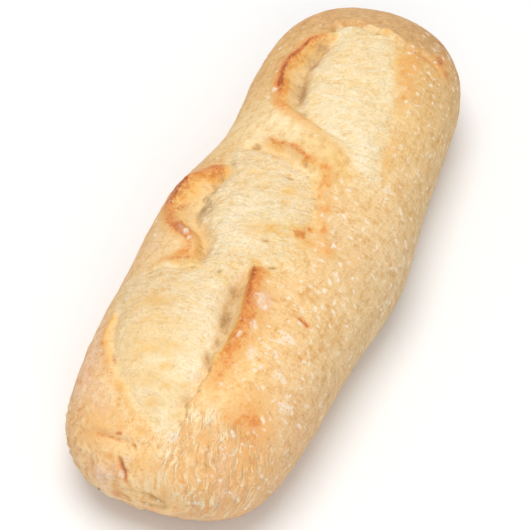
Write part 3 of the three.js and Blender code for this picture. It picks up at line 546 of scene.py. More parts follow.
    ("gold", -54.0, 14.6, 9.0, 2.6, -8, 0.55, 0.0), ("gold", -14.0, 14.6, 2.4, 1.8, 70, 0.9, 0.0),
    ("brown", -16.6, 13.2, 2.2, 1.6, 80, 0.6, 0.0), ("tan", 8.0, -12.0, 12.0, 6.0, -80, 0.60, 0.0),
    ("tan", -12.0, -20.0, 12.0, 3.0, 0, 0.55, 0.0), ("gold", -22.0, 0.0, 5.0, 2.4, 76, 0.35, 0.0),
    ("gold", -60.0, -20.0, 8.0, 2.2, 80, 0.30, 0.0), ("gold", -78.0, -14.0, 7.0, 3.0, 80, 0.30, 0.0),
    ("gold", -88.6, -8.6, 4.0, 2.4, 75, 0.32, 0.0), ("gold", -75.2, -5.0, 4.0, 2.0, 80, 0.30, 0.0), ("gold", -77.4, -13.6, 4.4, 2.4, 80, 0.32, 0.0),
    ("gold", -88.6, -3.4, 3.0, 2.0, 60, 0.36, 0.0), ("gold", -86.8, 2.4, 2.4, 1.4, 70, 0.35, 0.0), ("tan", -92.0, -3.0, 7.0, 4.0, 70, 0.45, 0.0),
    ("gold", -95.5, -5.5, 3.0, 2.0, 60, 0.45, 0.0), ("gold", -83.0, -6.0, 3.0, 1.6, 60, 0.40, 0.0), ("tan", -70.0, -22.0, 9.0, 5.0, 80, 0.55, 0.0),
    ("pink", -105.0, 22.0, 5.0, 6.0, 0, 0.60, 0.0), ("pink", -112.0, 26.0, 6.0, 6.0, 0, 0.55, 0.0), ("pink", -98.0, 24.0, 5.0, 4.0, 0, 0.45, 0.0),
    ("pink", -98.0, -30.0, 9.0, 5.0, 0, 0.40, 0.0), ("gold", 70.0, 18.5, 3.0, 2.0, 10, 0.70, 0.0), ("gold", 59.0, 21.8, 2.6, 1.8, 0, 0.75, 0.0),
    ("tan", -56.0, -26.0, 18.0, 16.0, -50, 0.85, 0.0), ("tan", -62.0, -38.0, 18.0, 10.0, -20, 0.85, 0.0),
]
# crust tone by place: A, S, reach, then red, green, blue as seen (sRGB, 0-255), shading included, so the darker tones
# towards the flanks are partly painted shade
TONES = [
    (100, 0, 14, 222, 178, 122), (104, -28, 16, 222, 172, 112), (104, 28, 16, 205, 156, 98), (118, 0, 14, 214, 166, 112),
    (60, -32, 14, 232, 184, 118), (60, -55, 18, 226, 176, 112), (30, -34, 12, 246, 214, 158), (26, -14, 10, 250, 224, 174),
    (22, 4, 8, 240, 200, 136), (17, 13, 7, 238, 192, 116), (8, 22, 10, 240, 200, 140), (20, -60, 18, 232, 186, 122),
    (75, 22, 10, 238, 190, 118), (50, 30, 12, 242, 200, 134), (30, 38, 14, 236, 196, 134), (70, 42, 14, 222, 182, 124),
    (40, 58, 16, 220, 186, 134), (0, 30, 14, 240, 202, 146), (-10, 50, 16, 230, 196, 146), (0, 72, 18, 214, 184, 140),
    (-35, 36, 14, 240, 200, 140), (-30, 60, 16, 226, 192, 140), (-45, 18, 9, 243, 200, 140), (-60, 24, 12, 246, 204, 142),
    (-60, 55, 16, 228, 190, 138), (-75, 18, 10, 252, 206, 136), (-80, 38, 14, 240, 194, 138), (-85, 64, 16, 226, 184, 134),
    (-100, 14, 9, 252, 214, 154), (-92, 12, 8, 254, 212, 148), (-108, 30, 12, 242, 190, 132), (-112, 6, 9, 255, 214, 150),
    (-120, 4, 8, 252, 206, 140), (-118, 24, 12, 244, 192, 136), (-112, -10, 9, 252, 206, 142), (-104, -16, 9, 254, 214, 152),
    (-92, -28, 10, 252, 208, 148), (-98, -38, 9, 226, 173, 116), (-108, -34, 8, 226, 174, 118), (-80, -42, 12, 240, 192, 148), (-118, -24, 10, 240, 200, 158),
    (-60, -58, 18, 234, 190, 132), (-32, -26, 9, 246, 208, 152), (-25, -50, 14, 234, 190, 132), (-5, -55, 14, 228, 178, 118),
    (-100, 50, 16, 226, 180, 128), (-124, -4, 8, 240, 192, 126),
]


def sampled(rows, closed=False, step=0.6):
    r = np.array(rows, float)
    n = len(r)
    if closed:
        r = np.vstack([r[-4:], r, r[:5]])
    d = np.hypot(*np.diff(r[:, :2], axis=0).T)
    c = np.r_[0, np.cumsum(d)]
    fx, fy = spline(c, r[:, 0]), spline(c, r[:, 1])
    lo, hi = (c[4], c[4 + n]) if closed else (0.0, c[-1])
    q = np.linspace(lo, hi, max(int((hi - lo) / step), 8) + 1)
    return np.stack([fx(q), fy(q)] + [np.interp(q, c, r[:, j]) for j in range(2, r.shape[1])], 1)


def nearest(line, reach):
    """per vertex: distance to the line (inf beyond reach), side (+1 left of its direction), and the line's values there"""
    k = line.shape[1] - 2
    dist = np.full(len(A), np.inf)
    side = np.ones(len(A))
    val = np.zeros((len(A), k))
    lo, hi = line[:, :2].min(0) - reach, line[:, :2].max(0) + reach
    idx = np.nonzero(((AS >= lo) & (AS <= hi)).all(1))[0]
    a, b = line[:-1], line[1:]
    e = b[:, :2] - a[:, :2]
    ee = (e**2).sum(1) + 1e-12
    for c in range(0, len(idx), 8000):
        i = idx[c:c + 8000]
        dx = AS[i, 0][:, None] - a[None, :, 0]
        dy = AS[i, 1][:, None] - a[None, :, 1]
        u = np.clip((dx * e[:, 0] + dy * e[:, 1]) / ee, 0, 1)
        d2 = (dx - u * e[:, 0]) ** 2 + (dy - u * e[:, 1]) ** 2
        j = d2.argmin(1)
        r = np.arange(len(i))
        uu = u[r, j][:, None]
        dist[i] = np.sqrt(d2[r, j])
        side[i] = np.sign(e[j, 0] * dy[r, j] - e[j, 1] * dx[r, j])
        val[i] = a[j, 2:] * (1 - uu) + b[j, 2:] * uu
    return dist, side, val


def inside(line):
    """even-odd test of every vertex against a closed line"""
    out = np.zeros(len(A), bool)
    lo, hi = line[:, :2].min(0), line[:, :2].max(0)
    idx = np.nonzero(((AS >= lo) & (AS <= hi)).all(1))[0]
    x, y = AS[idx, 0][:, None], AS[idx, 1][:, None]
    a, b = line[:-1], line[1:]
    cross = ((a[:, 1] > y) != (b[:, 1] > y)) & (x < (b[:, 0] - a[:, 0]) * (y - a[:, 1]) / (b[:, 1] - a[:, 1] + 1e-12) + a[:, 0])
    out[idx] = cross.sum(1) % 2 == 1
    return out


# ---------------------------------------------------------------- relief
n6 = fbm(P / 6.0, 3, 3)
n2 = fbm(P / 2.1, 5, 2)
n1 = noise(P / 1.1, 9)
wide = fbm(P / 13.0, 17, 2)

# coordinates that run with the tear: F1 across the fine steps of the crumb, F2 along them
g = np.interp(A, [-100, -60, -5, 55, 90], [0.0, 0.04, 0.2, 0.42, 0.45])
F1 = A - g * S + 0.016 * np.maximum(S + 8, 0) ** 2 * sstep(-A, 30, 50) + 1.6 * fbm(P / 14.0, 31, 2)
F2 = S + 1.2 * fbm(P / 11.0, 32, 2)
G1 = F1 + 2.0 * fbm(P / 8.0, 51, 3)
G2 = F2 + 2.6 * fbm(P / 8.0, 52, 3)

crumb = np.zeros(len(A))
depth_in = np.zeros(len(A))       # how far inside the crumb a vertex is
for name, rows in CRUMB.items():
    line = sampled(rows, closed=True)
    dist, _, val = nearest(line, 14.0)
    d = np.where(inside(line), np.where(np.isfinite(dist), dist, 14.0), -np.where(np.isfinite(dist), dist, 50.0))
    soft = np.where(np.isfinite(dist), val[:, 0], 1.0)
    dj = d + (0.6 * n6 + 0.2 * n2) * np.minimum(0.6 + 0.4 * soft, 1.2) + 0.55 * soft * wide
    m = np.clip((dj + soft) / (2 * soft), 0, 1)
    crumb = np.maximum(crumb, m)
    depth_in = np.maximum(depth_in, d)

relief = 0.75 * fbm(P / 34.0, 41, 2) + 0.34 * fbm(P / 13.0, 43, 2)
crust_fine = 0.22 * fbm(P / 5.0, 44, 3) + 0.13 * n2
over = np.zeros_like(P)
burn_and_crease_shade = np.zeros(len(A))
gold = np.zeros(len(A))
wall = np.zeros(len(A))
painted_shade = np.zeros(len(A))

# surface directions of growing A and S, for the overhang
ex = np.array([[1.0, 0.0, 0.0]])
dirA = ex - N * N[:, :1]
dirA /= np.linalg.norm(dirA, axis=1, keepdims=True) + 1e-9
dirS = np.cross(dirA, N)          # at the crown this is -Y, the side S grows towards

lip_h = np.zeros(len(A))
lip_v = np.zeros(len(A))
jag = 0.8 * noise(AS / 4.4, 61) + 0.3 * noise(AS / 2.4, 62)
rag_h = 1 + 0.20 * noise(AS / 6.5, 63) + 0.06 * noise(AS / 2.2, 64)
fray = 0.9 * fbm(np.c_[A / 5.0, S / 4.0], 65, 2)
wall_tan = np.zeros(len(A))
for name, L in LIPS.items():
    line = sampled(L["rows"])
    dist, side, val = nearest(line, 26.0)
    ok = np.isfinite(dist)
    d = np.where(ok, dist * side * L["side"], -99.0)
    h, v, ww, bi, gi = val.T
    h = h * rag_h
    dj = d + jag * np.clip(h / 2.4, 0, 1) * L.get("rag", 0.45)
    shoulder = h * np.exp(-(np.abs(np.minimum(dj, 0)) / L["out"]) ** 1.35)
    k = np.clip(dj / np.maximum(ww, 0.5), 0, 1)
    k = 0.45 * k + 0.55 * k * k * (3 - 2 * k)
    wallz = h * (1 - k) - v * k
    past = -v * np.exp(-(np.maximum(dj - ww, 0) / L["valley"]) ** 2)
    z = np.where(dj < 0, shoulder, np.where(dj < ww, wallz, past))
    z = np.where(ok, z, 0)
    lip_h = np.maximum(lip_h, np.maximum(z, 0))
    lip_v = np.minimum(lip_v, np.minimum(z, 0))
    # a ragged crevice where the wall meets the torn crumb, cut into the relief and darkened with painted shade
    foot = np.exp(-((dj - ww - 0.3 - 0.8 * n6) / 0.75) ** 2) * sstep(n6 + 0.5 * n2, -0.15, 0.3) * np.clip(v / 2.4, 0, 1)
    foot = np.where(ok, foot, 0)
    foot = foot * L.get("foot", 0.0)
    lip_v = lip_v - 0.8 * foot
    painted_shade = np.maximum(painted_shade, 0.8 * foot)
    seg = line[1:, :2] - line[:-1, :2]
    mean = seg.mean(0) / (np.linalg.norm(seg.mean(0)) + 1e-9)
    to = np.array([-mean[1], mean[0]]) * L["side"]
    crest = np.where(ok, np.exp(-((d + 0.3) / 1.7) ** 2) * h / 3.4, 0)
    over += (crest * L["over"])[:, None] * (dirA * to[0] + dirS * to[1])
    b0, b1 = L["burn_and_crease_shade"]
    bd = d + 0.7 * n6
    bm = sstep(bd, b0 - 0.9, b0 + 0.5) * (1 - sstep(bd, b1 - 0.5, b1 + 0.8))
    burn_and_crease_shade = np.maximum(burn_and_crease_shade, np.where(ok, bm * bi, 0))
    g0, g1 = L["gold"]
    gd = d + 1.3 * n6 + 0.3 * n2
    gm = sstep(gd, g0 - 1.8, g0 + 1.4) * (1 - sstep(gd, g1 - 1.4, g1 + 2.0))
    gm = gm * L.get("gg", 1.0) * (1 - L.get("fray", 0.2) * np.clip(0.42 + 1.5 * fray, 0, 1))
    gold = np.maximum(gold, np.where(ok, gm * gi, 0))
    hh = val[:, 0]
    wm = np.where(ok, sstep(d, -0.1, 0.9) * (1 - sstep(d, ww + 1.0, ww + 3.5)) * sstep(hh, 0.95, 1.4), 0)
    wall = np.maximum(wall, wm)
    wall_tan = np.maximum(wall_tan, wm * (1 - sstep(d, 0.55 * ww, ww + 0.8)) * L.get("tan", 0.3))
    # painted shade along the valley beside each lip, scaled by the lip's dim value
    painted_shade = np.maximum(painted_shade, np.where(ok, np.exp(-((d - ww - 0.9) / 1.9) ** 2) * np.clip(v / 3.2, 0, 1) * (0.36 + 0.5 * n6), 0) * L.get("dim", 1.0))
relief += lip_h + lip_v
Q = P + N * relief[:, None] + over
crumb = np.maximum(crumb, wall)

groove = np.zeros(len(A))
for rows in FOLDS:
    dist, side, val = nearest(sampled(rows), 8.0)
    ok = np.isfinite(dist)
    dj = np.where(ok, dist, 9) + 0.35 * n2
    relief += np.where(ok, val[:, 0] * np.exp(-(dj / np.maximum(val[:, 1], 0.4)) ** 2), 0)
    groove = np.maximum(groove, np.where(ok & (val[:, 0] < 0), -val[:, 0] * np.exp(-(dj / 0.8) ** 2), 0))
# the grooves take the burn colour too: painted shade in the crease
burn_and_crease_shade = np.maximum(burn_and_crease_shade, np.clip(groove, 0, 0.8))

# the crumb: a low swelling, torn across in ragged ledges and fine steps, with pits
swell = sstep(depth_in, 1.0, 13.0)
coarse = np.interp(A, [-106, -60, -44, -30, 15, 30, 60, 90], [0.55, 0.62, 1.0, 1.35, 1.4, 1.05, 0.95, 0.95])
billow = np.abs(fbm(np.c_[G1 / 3.6, G2 / 7.0], 71, 3)) * 2.4 - 0.45
ridge = 0.42 - np.abs(fbm(np.c_[G1 / 1.7, G2 / 4.2], 72, 2)) * 2.0
q = 3.2 * fbm(np.c_[G1 / 8.0, G2 / 15.0], 74, 3)
fl = np.floor(q)
terrace = 0.34 * (fl + sstep(q - fl, 0.0, 0.2) - q + 0.4)
lump = fbm(P / 4.6, 76, 3)
crag = fbm(P / 1.9, 77, 2)
grit = noise(np.c_[F1 / 0.8, F2 / 1.9], 73)
streak = fbm(np.c_[(F1 + 1.2 * n6) / 2.4, F2 / 9.0], 78, 2)
strandy = np.interp(A, [-106, -78, -58, -42, -10, 20, 60, 90], [0.25, 0.3, 0.75, 0.8, 0.9, 0.65, 0.6, 0.65])
fine_step = coarse * (0.40 * billow + 0.22 * ridge + 0.44 * lump + 1.15 * terrace) + 0.22 * crag + 0.10 * grit + 0.45 * streak * strandy
pd, pr = cells(np.c_[G1 / 3.0, G2 / 4.6, np.zeros(len(A))], 81)
pit = np.clip(1.15 - pd / 0.24, 0, 1) * (pr > 0.80)
pd2, pr2 = cells(np.c_[G1 / 1.5, G2 / 2.0, np.zeros(len(A))], 83)
pit2 = np.clip(1.1 - pd2 / 0.34, 0, 1) * (pr2 > 0.74)
torn = sstep(depth_in, 0.0, 4.5) * (1 - 0.75 * wall)     # the tear fades out towards the skin
relief += torn * (fine_step - 0.8 * pit - 0.32 * pit2) + 1.1 * swell
# walls are porous
wd, wr_ = cells(Q / 2.2, 85)
pore = np.clip(1.1 - wd / 0.48, 0, 1) * (wr_ > 0.42)
relief += wall * (0.60 * fbm(Q / 3.2, 86, 3) - 0.50 * pore)

# crust at the blunt end is drawn into fine wrinkles that fan out of the slash's tip
wc = S / (1 + 0.016 * np.maximum(-92 - A, 0)) + 1.5 * fbm(P / 9.0, 90, 2) + 0.7 * noise(P / 3.6, 89)
wz = sstep(-A, 86, 96) * sstep(S, -3, 7) * (1 - sstep(S, 32, 48)) * (1 - sstep(-A, 120, 126)) * sstep(P[:, 2], 6, 14)
wz = wz * (0.55 + 0.9 * np.clip(0.5 + n6, 0, 1))
wc = wc + 0.9 * fbm(P / 4.5, 88, 2)
w1 = fbm(np.c_[wc / 3.2, A / 9.0], 91, 2)
wrinkle = wz * 0.55 * w1
# round its front corner the skin is crazed, and folded upright near the sole
crz = 1 - np.clip(np.abs(fbm(P / 7.5, 93, 3)) / 0.07, 0, 1)
crz2 = 1 - np.clip(np.abs(fbm(P / 4.2 + 30, 94, 2)) / 0.09, 0, 1)
cz = sstep(-A, 84, 96) * sstep(-S + 0.25 * (-A - 100), -8, 4) * sstep(P[:, 2], 5, 12)
craze = cz * (0.45 * crz + 0.26 * crz2)
phi = np.arctan2(P[:, 1] - drift(-1.0), -(P[:, 0] + 80))
fz = sstep(-A, 112, 121) * (1 - sstep(P[:, 2], 26, 36)) * sstep(P[:, 2], 1, 6)
fold = fbm(np.c_[phi * 13.0 + 0.4 * n6, P[:, 2] / 16.0], 96, 3)
foldz = fz * (0.9 * (0.5 - 2.0 * np.abs(fold)))
crust_line = 0.4 * wrinkle + craze + foldz * 0.6
relief += (1 - crumb) * (crust_fine + wrinkle + craze + foldz)

flank = sstep(np.abs(S), 26, 48)
fib = fbm(np.c_[A / 15.0 + 0.35 * n6, S / 1.35], 95, 2)
fib2 = fbm(np.c_[(A - 0.9 * S) / 2.0, (S + 0.9 * A) / 16.0], 98, 2)     # slanting stretch marks on the shoulder
shoulder = sstep(S, 10, 24) * (1 - sstep(S, 46, 62))
relief += (1 - crumb) * (0.13 * fib * flank + 0.12 * fib2 * shoulder)
bd_, br_ = cells(P / 3.0, 97)
blister = np.clip(1 - bd_ / 0.45, 0, 1) ** 2 * (br_ > 0.78)
relief += 0.30 * blister * (1 - crumb) * sstep(P[:, 2], 6, 16)

# the band of skin between two slashes stands a little proud
bl = sampled([(27.0, -34.0, 0.5), (28.0, -22.0, 1.0), (27.0, -11.0, 1.2), (23.0, -2.0, 1.2), (19.0, 8.0, 0.9), (15.0, 16.0, 0.4)])
bdist, _, bval = nearest(bl, 18.0)
relief += np.where(np.isfinite(bdist), bval[:, 0] * np.exp(-(np.where(np.isfinite(bdist), bdist, 99) / 6.0) ** 2), 0)

marks = {k: np.zeros(len(A)) for k in ("painted_shade", "gold", "brown", "pink", "flour", "cream", "tan", "white")}
for kind, pa, ps, rl, rw, an, st, rz in MARKS:
    c, s_ = math.cos(math.radians(an)), math.sin(math.radians(an))
    u, v = (A - pa) * c + (S - ps) * s_, -(A - pa) * s_ + (S - ps) * c
    if kind == "flour":
        rl, rw = 1.2 * rl, 1.3 * rw
    size = min(max(min(rl, rw) / 3.0, 0.15), 1.0)
    q = (u / max(rl, 0.55)) ** 2 + (v / max(rw, 0.55)) ** 2
    q = q * (1 + size * (0.9 * n6 + 0.5 * n2)) + 0.35 * (1 - size) * n2 + 0.25 * n1 * size
    m = 1 - sstep(q, 0.2, 1.6) if kind == "flour" else np.exp(-np.maximum(q, 0) * (0.9 if size < 0.7 else 0.6))
    marks[kind] = np.maximum(marks[kind], st * m)
    if rz:
        relief += rz * np.exp(-np.maximum(q, 0) * 1.1)
gold = np.maximum(gold, marks["gold"])
gold = gold * (1 - 0.9 * np.clip(marks["cream"], 0, 1))
burn_and_crease_shade = np.maximum(burn_and_crease_shade, marks["brown"])
# painted shade from the olive-brown shade marks
painted_shade = np.maximum(painted_shade, marks["painted_shade"])

# how far each spot stands above or sits below its surroundings, for colour: painted shade in the crumb's hollows, pits
# and pores, painted highlight on its raised ledges, painted highlight on raised crust lines and painted shade in the
# folds' troughs
pit_painted_shade = np.clip(torn * (-(fine_step + 0.12) / 0.60 + 0.9 * pit + 0.5 * pit2) + wall * pore * 0.8, 0, 1)
proud = np.clip(torn * (fine_step - 0.02) / 0.5, 0, 1)
raised_line_painted_highlight = (1 - crumb) * np.clip((crust_line - 0.05) / 0.35, 0, 1)
fold_painted_shade = (1 - crumb) * np.clip(fz * np.abs(fold) * 2.0, 0, 1)

# where the relief fades: the sole stays flat
fade = sstep(P[:, 2], 1.2, 9.0)
D = P + N * (relief * fade)[:, None] + over * fade[:, None]
sole = (P[:, 2] < 0.05)
D[:, 2] = np.where(sole, 0.0, np.maximum(D[:, 2], 0.0))
D[:, 1] += SHIFT_Y

# ---------------------------------------------------------------- tone
wsum = np.zeros(len(A))
tone = np.zeros((len(A), 3))
for ta, ts, tr, r, g_, b in TONES:
    w = np.exp(-(((A - ta) ** 2 + (S - ts) ** 2) / (2 * (tr * 0.8) ** 2))) + 1e-9
    wsum += w
    tone += w[:, None] * np.array([r, g_, b], float)
base = np.array([222.0, 178.0, 122.0])
tone = (tone + base * 0.02) / (wsum[:, None] + 0.02)
sole_mask = 1 - sstep(P[:, 2], 0.3, 7.0)
tone = tone * (1 - sole_mask[:, None]) + np.array([196.0, 142.0, 84.0]) * sole_mask[:, None]
tone = tone / 255.0
lin = np.where(tone <= 0.04045, tone / 12.92, ((tone + 0.055) / 1.055) ** 2.4)

# ---------------------------------------------------------------- mesh
me = bpy.data.meshes.new("loaf_surface")
me.from_pydata((D / 1000).tolist(), [], faces.tolist())
me.validate()
me.polygons.foreach_set("use_smooth", np.ones(len(me.polygons), bool))
uvl = me.uv_layers.new(name="OFBake")
uvl.data.foreach_set("uv", uvs.reshape(-1, 2).astype(np.float32).ravel())


def attr(name, values, kind="FLOAT"):
    a = me.attributes.new(name, kind, "POINT")
    if kind == "FLOAT":
        a.data.foreach_set("value", np.asarray(values, np.float32))
    elif kind == "FLOAT_VECTOR":
        a.data.foreach_set("vector", np.asarray(values, np.float32).ravel())
    else:
        a.data.foreach_set("color", np.c_[values, np.ones(len(values))].astype(np.float32).ravel())


attr("crumb", crumb)
attr("burn_and_crease_shade", np.clip(burn_and_crease_shade, 0, 1.2))
attr("gold", np.clip(gold, 0, 1.2))
attr("painted_shade", np.clip(painted_shade, 0, 1.2))
attr("flour", np.clip(marks["flour"], 0, 1))
attr("pink", np.clip(marks["pink"], 0, 1))
attr("tan", np.clip(np.maximum(marks["tan"], wall_tan), 0, 1))
attr("pale", np.clip(marks["white"] + marks["cream"] - wall_tan, 0, 1))
attr("pit_painted_shade", pit_painted_shade)
attr("proud", proud)
attr("line", raised_line_painted_highlight)
attr("fold_painted_shade", fold_painted_shade)
attr("dust", sstep(S, 6, 22) * (1 - sstep(S, 60, 84)) * sstep(P[:, 2], 6, 20) + 0.55 * sstep(-S, 26, 44) * sstep(P[:, 2], 8, 22))
attr("flank", flank * sstep(P[:, 2], 1, 6))
attr("shoulder", shoulder)
attr("sole", sole_mask)
attr("warm", np.interp(A, [-106, -92, -78, -66, -48, -28, 4, 16, 28], [0.6, 0.6, 0.25, 0.0, 0.35, 1.0, 1.0, 0.45, 0.0]))
attr("strandy", strandy * (1 - 0.85 * wall))
attr("sleek", np.where(np.isfinite(bdist), np.exp(-(np.where(np.isfinite(bdist), bdist, 99) / 8.0) ** 2), 0) * (1 - crumb))
attr("drawn", np.clip(wz, 0, 1) * (1 - crumb))
attr("crazed", cz * (1 - crumb))
attr("tone", lin, "FLOAT_COLOR")
attr("flow", np.c_[G1, G2, 0 * G1], "FLOAT_VECTOR")
attr("skin", np.c_[A, S, 0 * A], "FLOAT_VECTOR")
attr("fan", np.c_[wc, A + 0.8 * n6, 0 * A], "FLOAT_VECTOR")
attr("strand", np.c_[F1 + 0.5 * n6, F2, 0 * A], "FLOAT_VECTOR")
attr("body", D, "FLOAT_VECTOR")
me.update()
loaf = bpy.data.objects.new("baked_loaf", me)
bpy.context.scene.collection.objects.link(loaf)

# ---------------------------------------------------------------- material
mat = bpy.data.materials.new("bread")
mat.use_nodes = True
nt = mat.node_tree
nodes, links = nt.nodes, nt.links
nodes.clear()
out = nodes.new("ShaderNodeOutputMaterial")
bsdf = nodes.new("ShaderNodeBsdfPrincipled")
links.new(bsdf.outputs["BSDF"], out.inputs["Surface"])


def srgb(r, g, b):
    f = lambda c: c / 12.92 if c <= 0.04045 else ((c + 0.055) / 1.055) ** 2.4
    return (f(r / 255), f(g / 255), f(b / 255), 1.0)


def attribute(name, socket="Fac"):
    n = nodes.new("ShaderNodeAttribute")
    n.attribute_name = name
    return n.outputs[socket]


def plug(sock, v):
    if isinstance(v, bpy.types.NodeSocket):
        links.new(v, sock)
    else:
        sock.default_value = v


def math_(op, a, b=0.0, c=0.0, clamp=False):
    n = nodes.new("ShaderNodeMath")
    n.operation = op
    n.use_clamp = clamp
    plug(n.inputs[0], a)
    plug(n.inputs[1], b)
    if len(n.inputs) > 2:
        plug(n.inputs[2], c)
    return n.outputs[0]


def remap(v, a, b, c=0.0, d=1.0, smooth=True):
    n = nodes.new("ShaderNodeMapRange")
    n.interpolation_type = "SMOOTHSTEP" if smooth else "LINEAR"
    plug(n.inputs["Value"], v)
    for k, x in zip(("From Min", "From Max", "To Min", "To Max"), (a, b, c, d)):
        plug(n.inputs[k], x)
    return n.outputs["Result"]


def mix(fac, a, b, mode="MIX"):
    n = nodes.new("ShaderNodeMix")
    n.data_type = "RGBA"
    n.blend_type = mode
    plug(n.inputs["Factor"], fac)
    plug(n.inputs["A"], a)
    plug(n.inputs["B"], b)
    return n.outputs["Result"]


def scaled(vec, sx, sy, sz):
    n = nodes.new("ShaderNodeMapping")
    n.vector_type = "POINT"
    links.new(vec, n.inputs["Vector"])
    n.inputs["Scale"].default_value = (sx, sy, sz)
    return n.outputs["Vector"]


def noise_(vec, scale, detail=2.0, rough=0.5, distortion=0.0):
    n = nodes.new("ShaderNodeTexNoise")
    links.new(vec, n.inputs["Vector"])
    n.inputs["Scale"].default_value = scale
    n.inputs["Detail"].default_value = detail
    n.inputs["Roughness"].default_value = rough
    n.inputs["Distortion"].default_value = distortion
    return n.outputs["Fac"]


def voronoi_(vec, scale, feature="F1"):
    n = nodes.new("ShaderNodeTexVoronoi")
    n.feature = feature
    links.new(vec, n.inputs["Vector"])
    n.inputs["Scale"].default_value = scale
    return n.outputs["Distance"]


body = attribute("body", "Vector")     # mm
flow = attribute("flow", "Vector")     # mm, across and along the crumb's tears
skin = attribute("skin", "Vector")     # mm, along and round the loaf
a_crumb, a_burn_and_crease_shade, a_gold, a_painted_shade, a_flour = (attribute(n) for n in ("crumb", "burn_and_crease_shade", "gold", "painted_shade", "flour"))
a_pink, a_tan, a_pale, a_pit_painted_shade, a_raised_painted_highlight = (attribute(n) for n in ("pink", "tan", "pale", "pit_painted_shade", "proud"))
a_raised_line_painted_highlight, a_fold_painted_shade, a_dust, a_flank, a_shoulder, a_sole, a_drawn, a_crazed, a_strandy, a_sleek, a_warm = (
    attribute(n) for n in ("line", "fold_painted_shade", "dust", "flank", "shoulder", "sole", "drawn", "crazed", "strandy", "sleek", "warm"))
fan = attribute("fan", "Vector")       # mm, across and along the wrinkles of the blunt end
strand = attribute("strand", "Vector") # mm, the tears again, less warped
tone_c = attribute("tone", "Color")

n_big = noise_(body, 0.07, 3, 0.55)
n_blot = noise_(body, 0.13, 3, 0.6)
n_mid = noise_(body, 0.30, 4, 0.62)
n_small = noise_(body, 0.85, 4, 0.65)
n_fine = noise_(body, 2.0, 4, 0.7)
n_grain = noise_(body, 4.2, 3, 0.6)
n_fib = noise_(scaled(skin, 0.10, 1.1, 1.0), 1.0, 4, 0.6, 0.4)
n_tear = noise_(scaled(flow, 0.62, 0.24, 1.0), 1.0, 4, 0.7, 1.2)
n_tear2 = noise_(scaled(flow, 1.7, 0.75, 1.0), 1.0, 4, 0.7, 1.0)


n_strand = noise_(scaled(strand, 0.95, 0.13, 1.0), 1.0, 4, 0.62, 0.5)
n_ledge = noise_(scaled(strand, 0.36, 0.11, 1.0), 1.0, 3, 0.6, 0.9)
n_gate = noise_(scaled(body, 0.22, 0.22, 0.22), 1.0, 2, 0.5)
n_wrk = noise_(scaled(fan, 0.54, 0.095, 1.0), 1.0, 2, 0.5, 0.5)
n_wrk2 = noise_(scaled(fan, 0.85, 0.16, 1.0), 1.0, 2, 0.5, 0.5)
n_crz = noise_(body, 0.14, 4, 0.62, 0.3)
n_crz2 = noise_(body, 0.32, 3, 0.55, 0.4)


def thin(v, width, at=0.5):
    """1 on the line where v passes through a level, 0 away from it"""
    return remap(math_("ABSOLUTE", math_("SUBTRACT", v, at)), 0.0, width, 1.0, 0.0)


def centred(v, gain):
    return math_("MULTIPLY_ADD", v, gain, -0.5 * gain)


def vary(colour, amount, strength):
    """multiply a colour by 1 + amount * strength, a little more in blue than in red, as toasting does"""
    v = nodes.new("ShaderNodeCombineXYZ")
    for k, s in enumerate(strength):
        links.new(math_("MULTIPLY_ADD", amount, s, 1.0), v.inputs[k])
    return mix(1.0, colour, v.outputs[0], "MULTIPLY")


# crust: tone by place, then mottled from centimetres down to grains
crust = tone_c
mott = math_("ADD", centred(n_small, 6.0), centred(n_fine, 7.0))
skin_axes = nodes.new("ShaderNodeSeparateXYZ")
links.new(skin, skin_axes.inputs[0])
between_ends = remap(math_("ABSOLUTE", skin_axes.outputs[0]), 78.0, 104.0, 1.0, 0.0)
at_ends = math_("SUBTRACT", 1.0, between_ends)
n_drag = noise_(scaled(skin, 0.62, 0.20, 1.0), 1.0, 4, 0.62, 0.8)
n_drag2 = noise_(scaled(skin, 1.5, 0.42, 1.0), 1.0, 3, 0.6, 0.4)
mott = math_("ADD", mott, math_("MULTIPLY", between_ends, math_("ADD", centred(n_drag, 4.2), centred(n_drag2, 4.2))))
mott = math_("ADD", mott, math_("MULTIPLY", at_ends, math_("ADD", centred(n_small, 4.5), centred(n_fine, 2.5))))
mott = math_("MULTIPLY", mott, math_("MULTIPLY_ADD", a_sleek, -0.65, 1.0))
mott = math_("ADD", mott, centred(n_blot, 4.0))
mott = math_("ADD", mott, centred(n_mid, 9.5))
crust = vary(crust, mott, (0.050, 0.115, 0.20))
not_sleek = math_("MULTIPLY_ADD", a_sleek, -0.85, 1.0)
crust = mix(math_("MULTIPLY", remap(n_small, 0.56, 0.72, 0.0, 0.10), not_sleek), crust, srgb(228, 162, 92))
crust = mix(math_("MULTIPLY", remap(n_mid, 0.52, 0.68, 0.0, 0.44), not_sleek), crust, srgb(238, 176, 102))
n_pale = noise_(scaled(skin, 0.50, 0.22, 1.0), 1.0, 3, 0.6, 0.5)
pale_amount = math_("MULTIPLY", remap(n_pale, 0.51, 0.67, 0.0, 0.28), math_("MULTIPLY_ADD", between_ends, 0.8, 0.2))
crust = mix(math_("MULTIPLY", pale_amount, not_sleek), crust, srgb(248, 220, 172))
fibre = math_("MULTIPLY", math_("ADD", a_flank, math_("MULTIPLY", a_shoulder, 0.6), clamp=True), remap(n_fib, 0.46, 0.68, 0.0, 0.26))
crust = mix(fibre, crust, srgb(248, 226, 186))
# painted shade in the troughs of the folds near the sole
crust = mix(math_("MULTIPLY", a_fold_painted_shade, 0.42), crust, srgb(232, 156, 90))
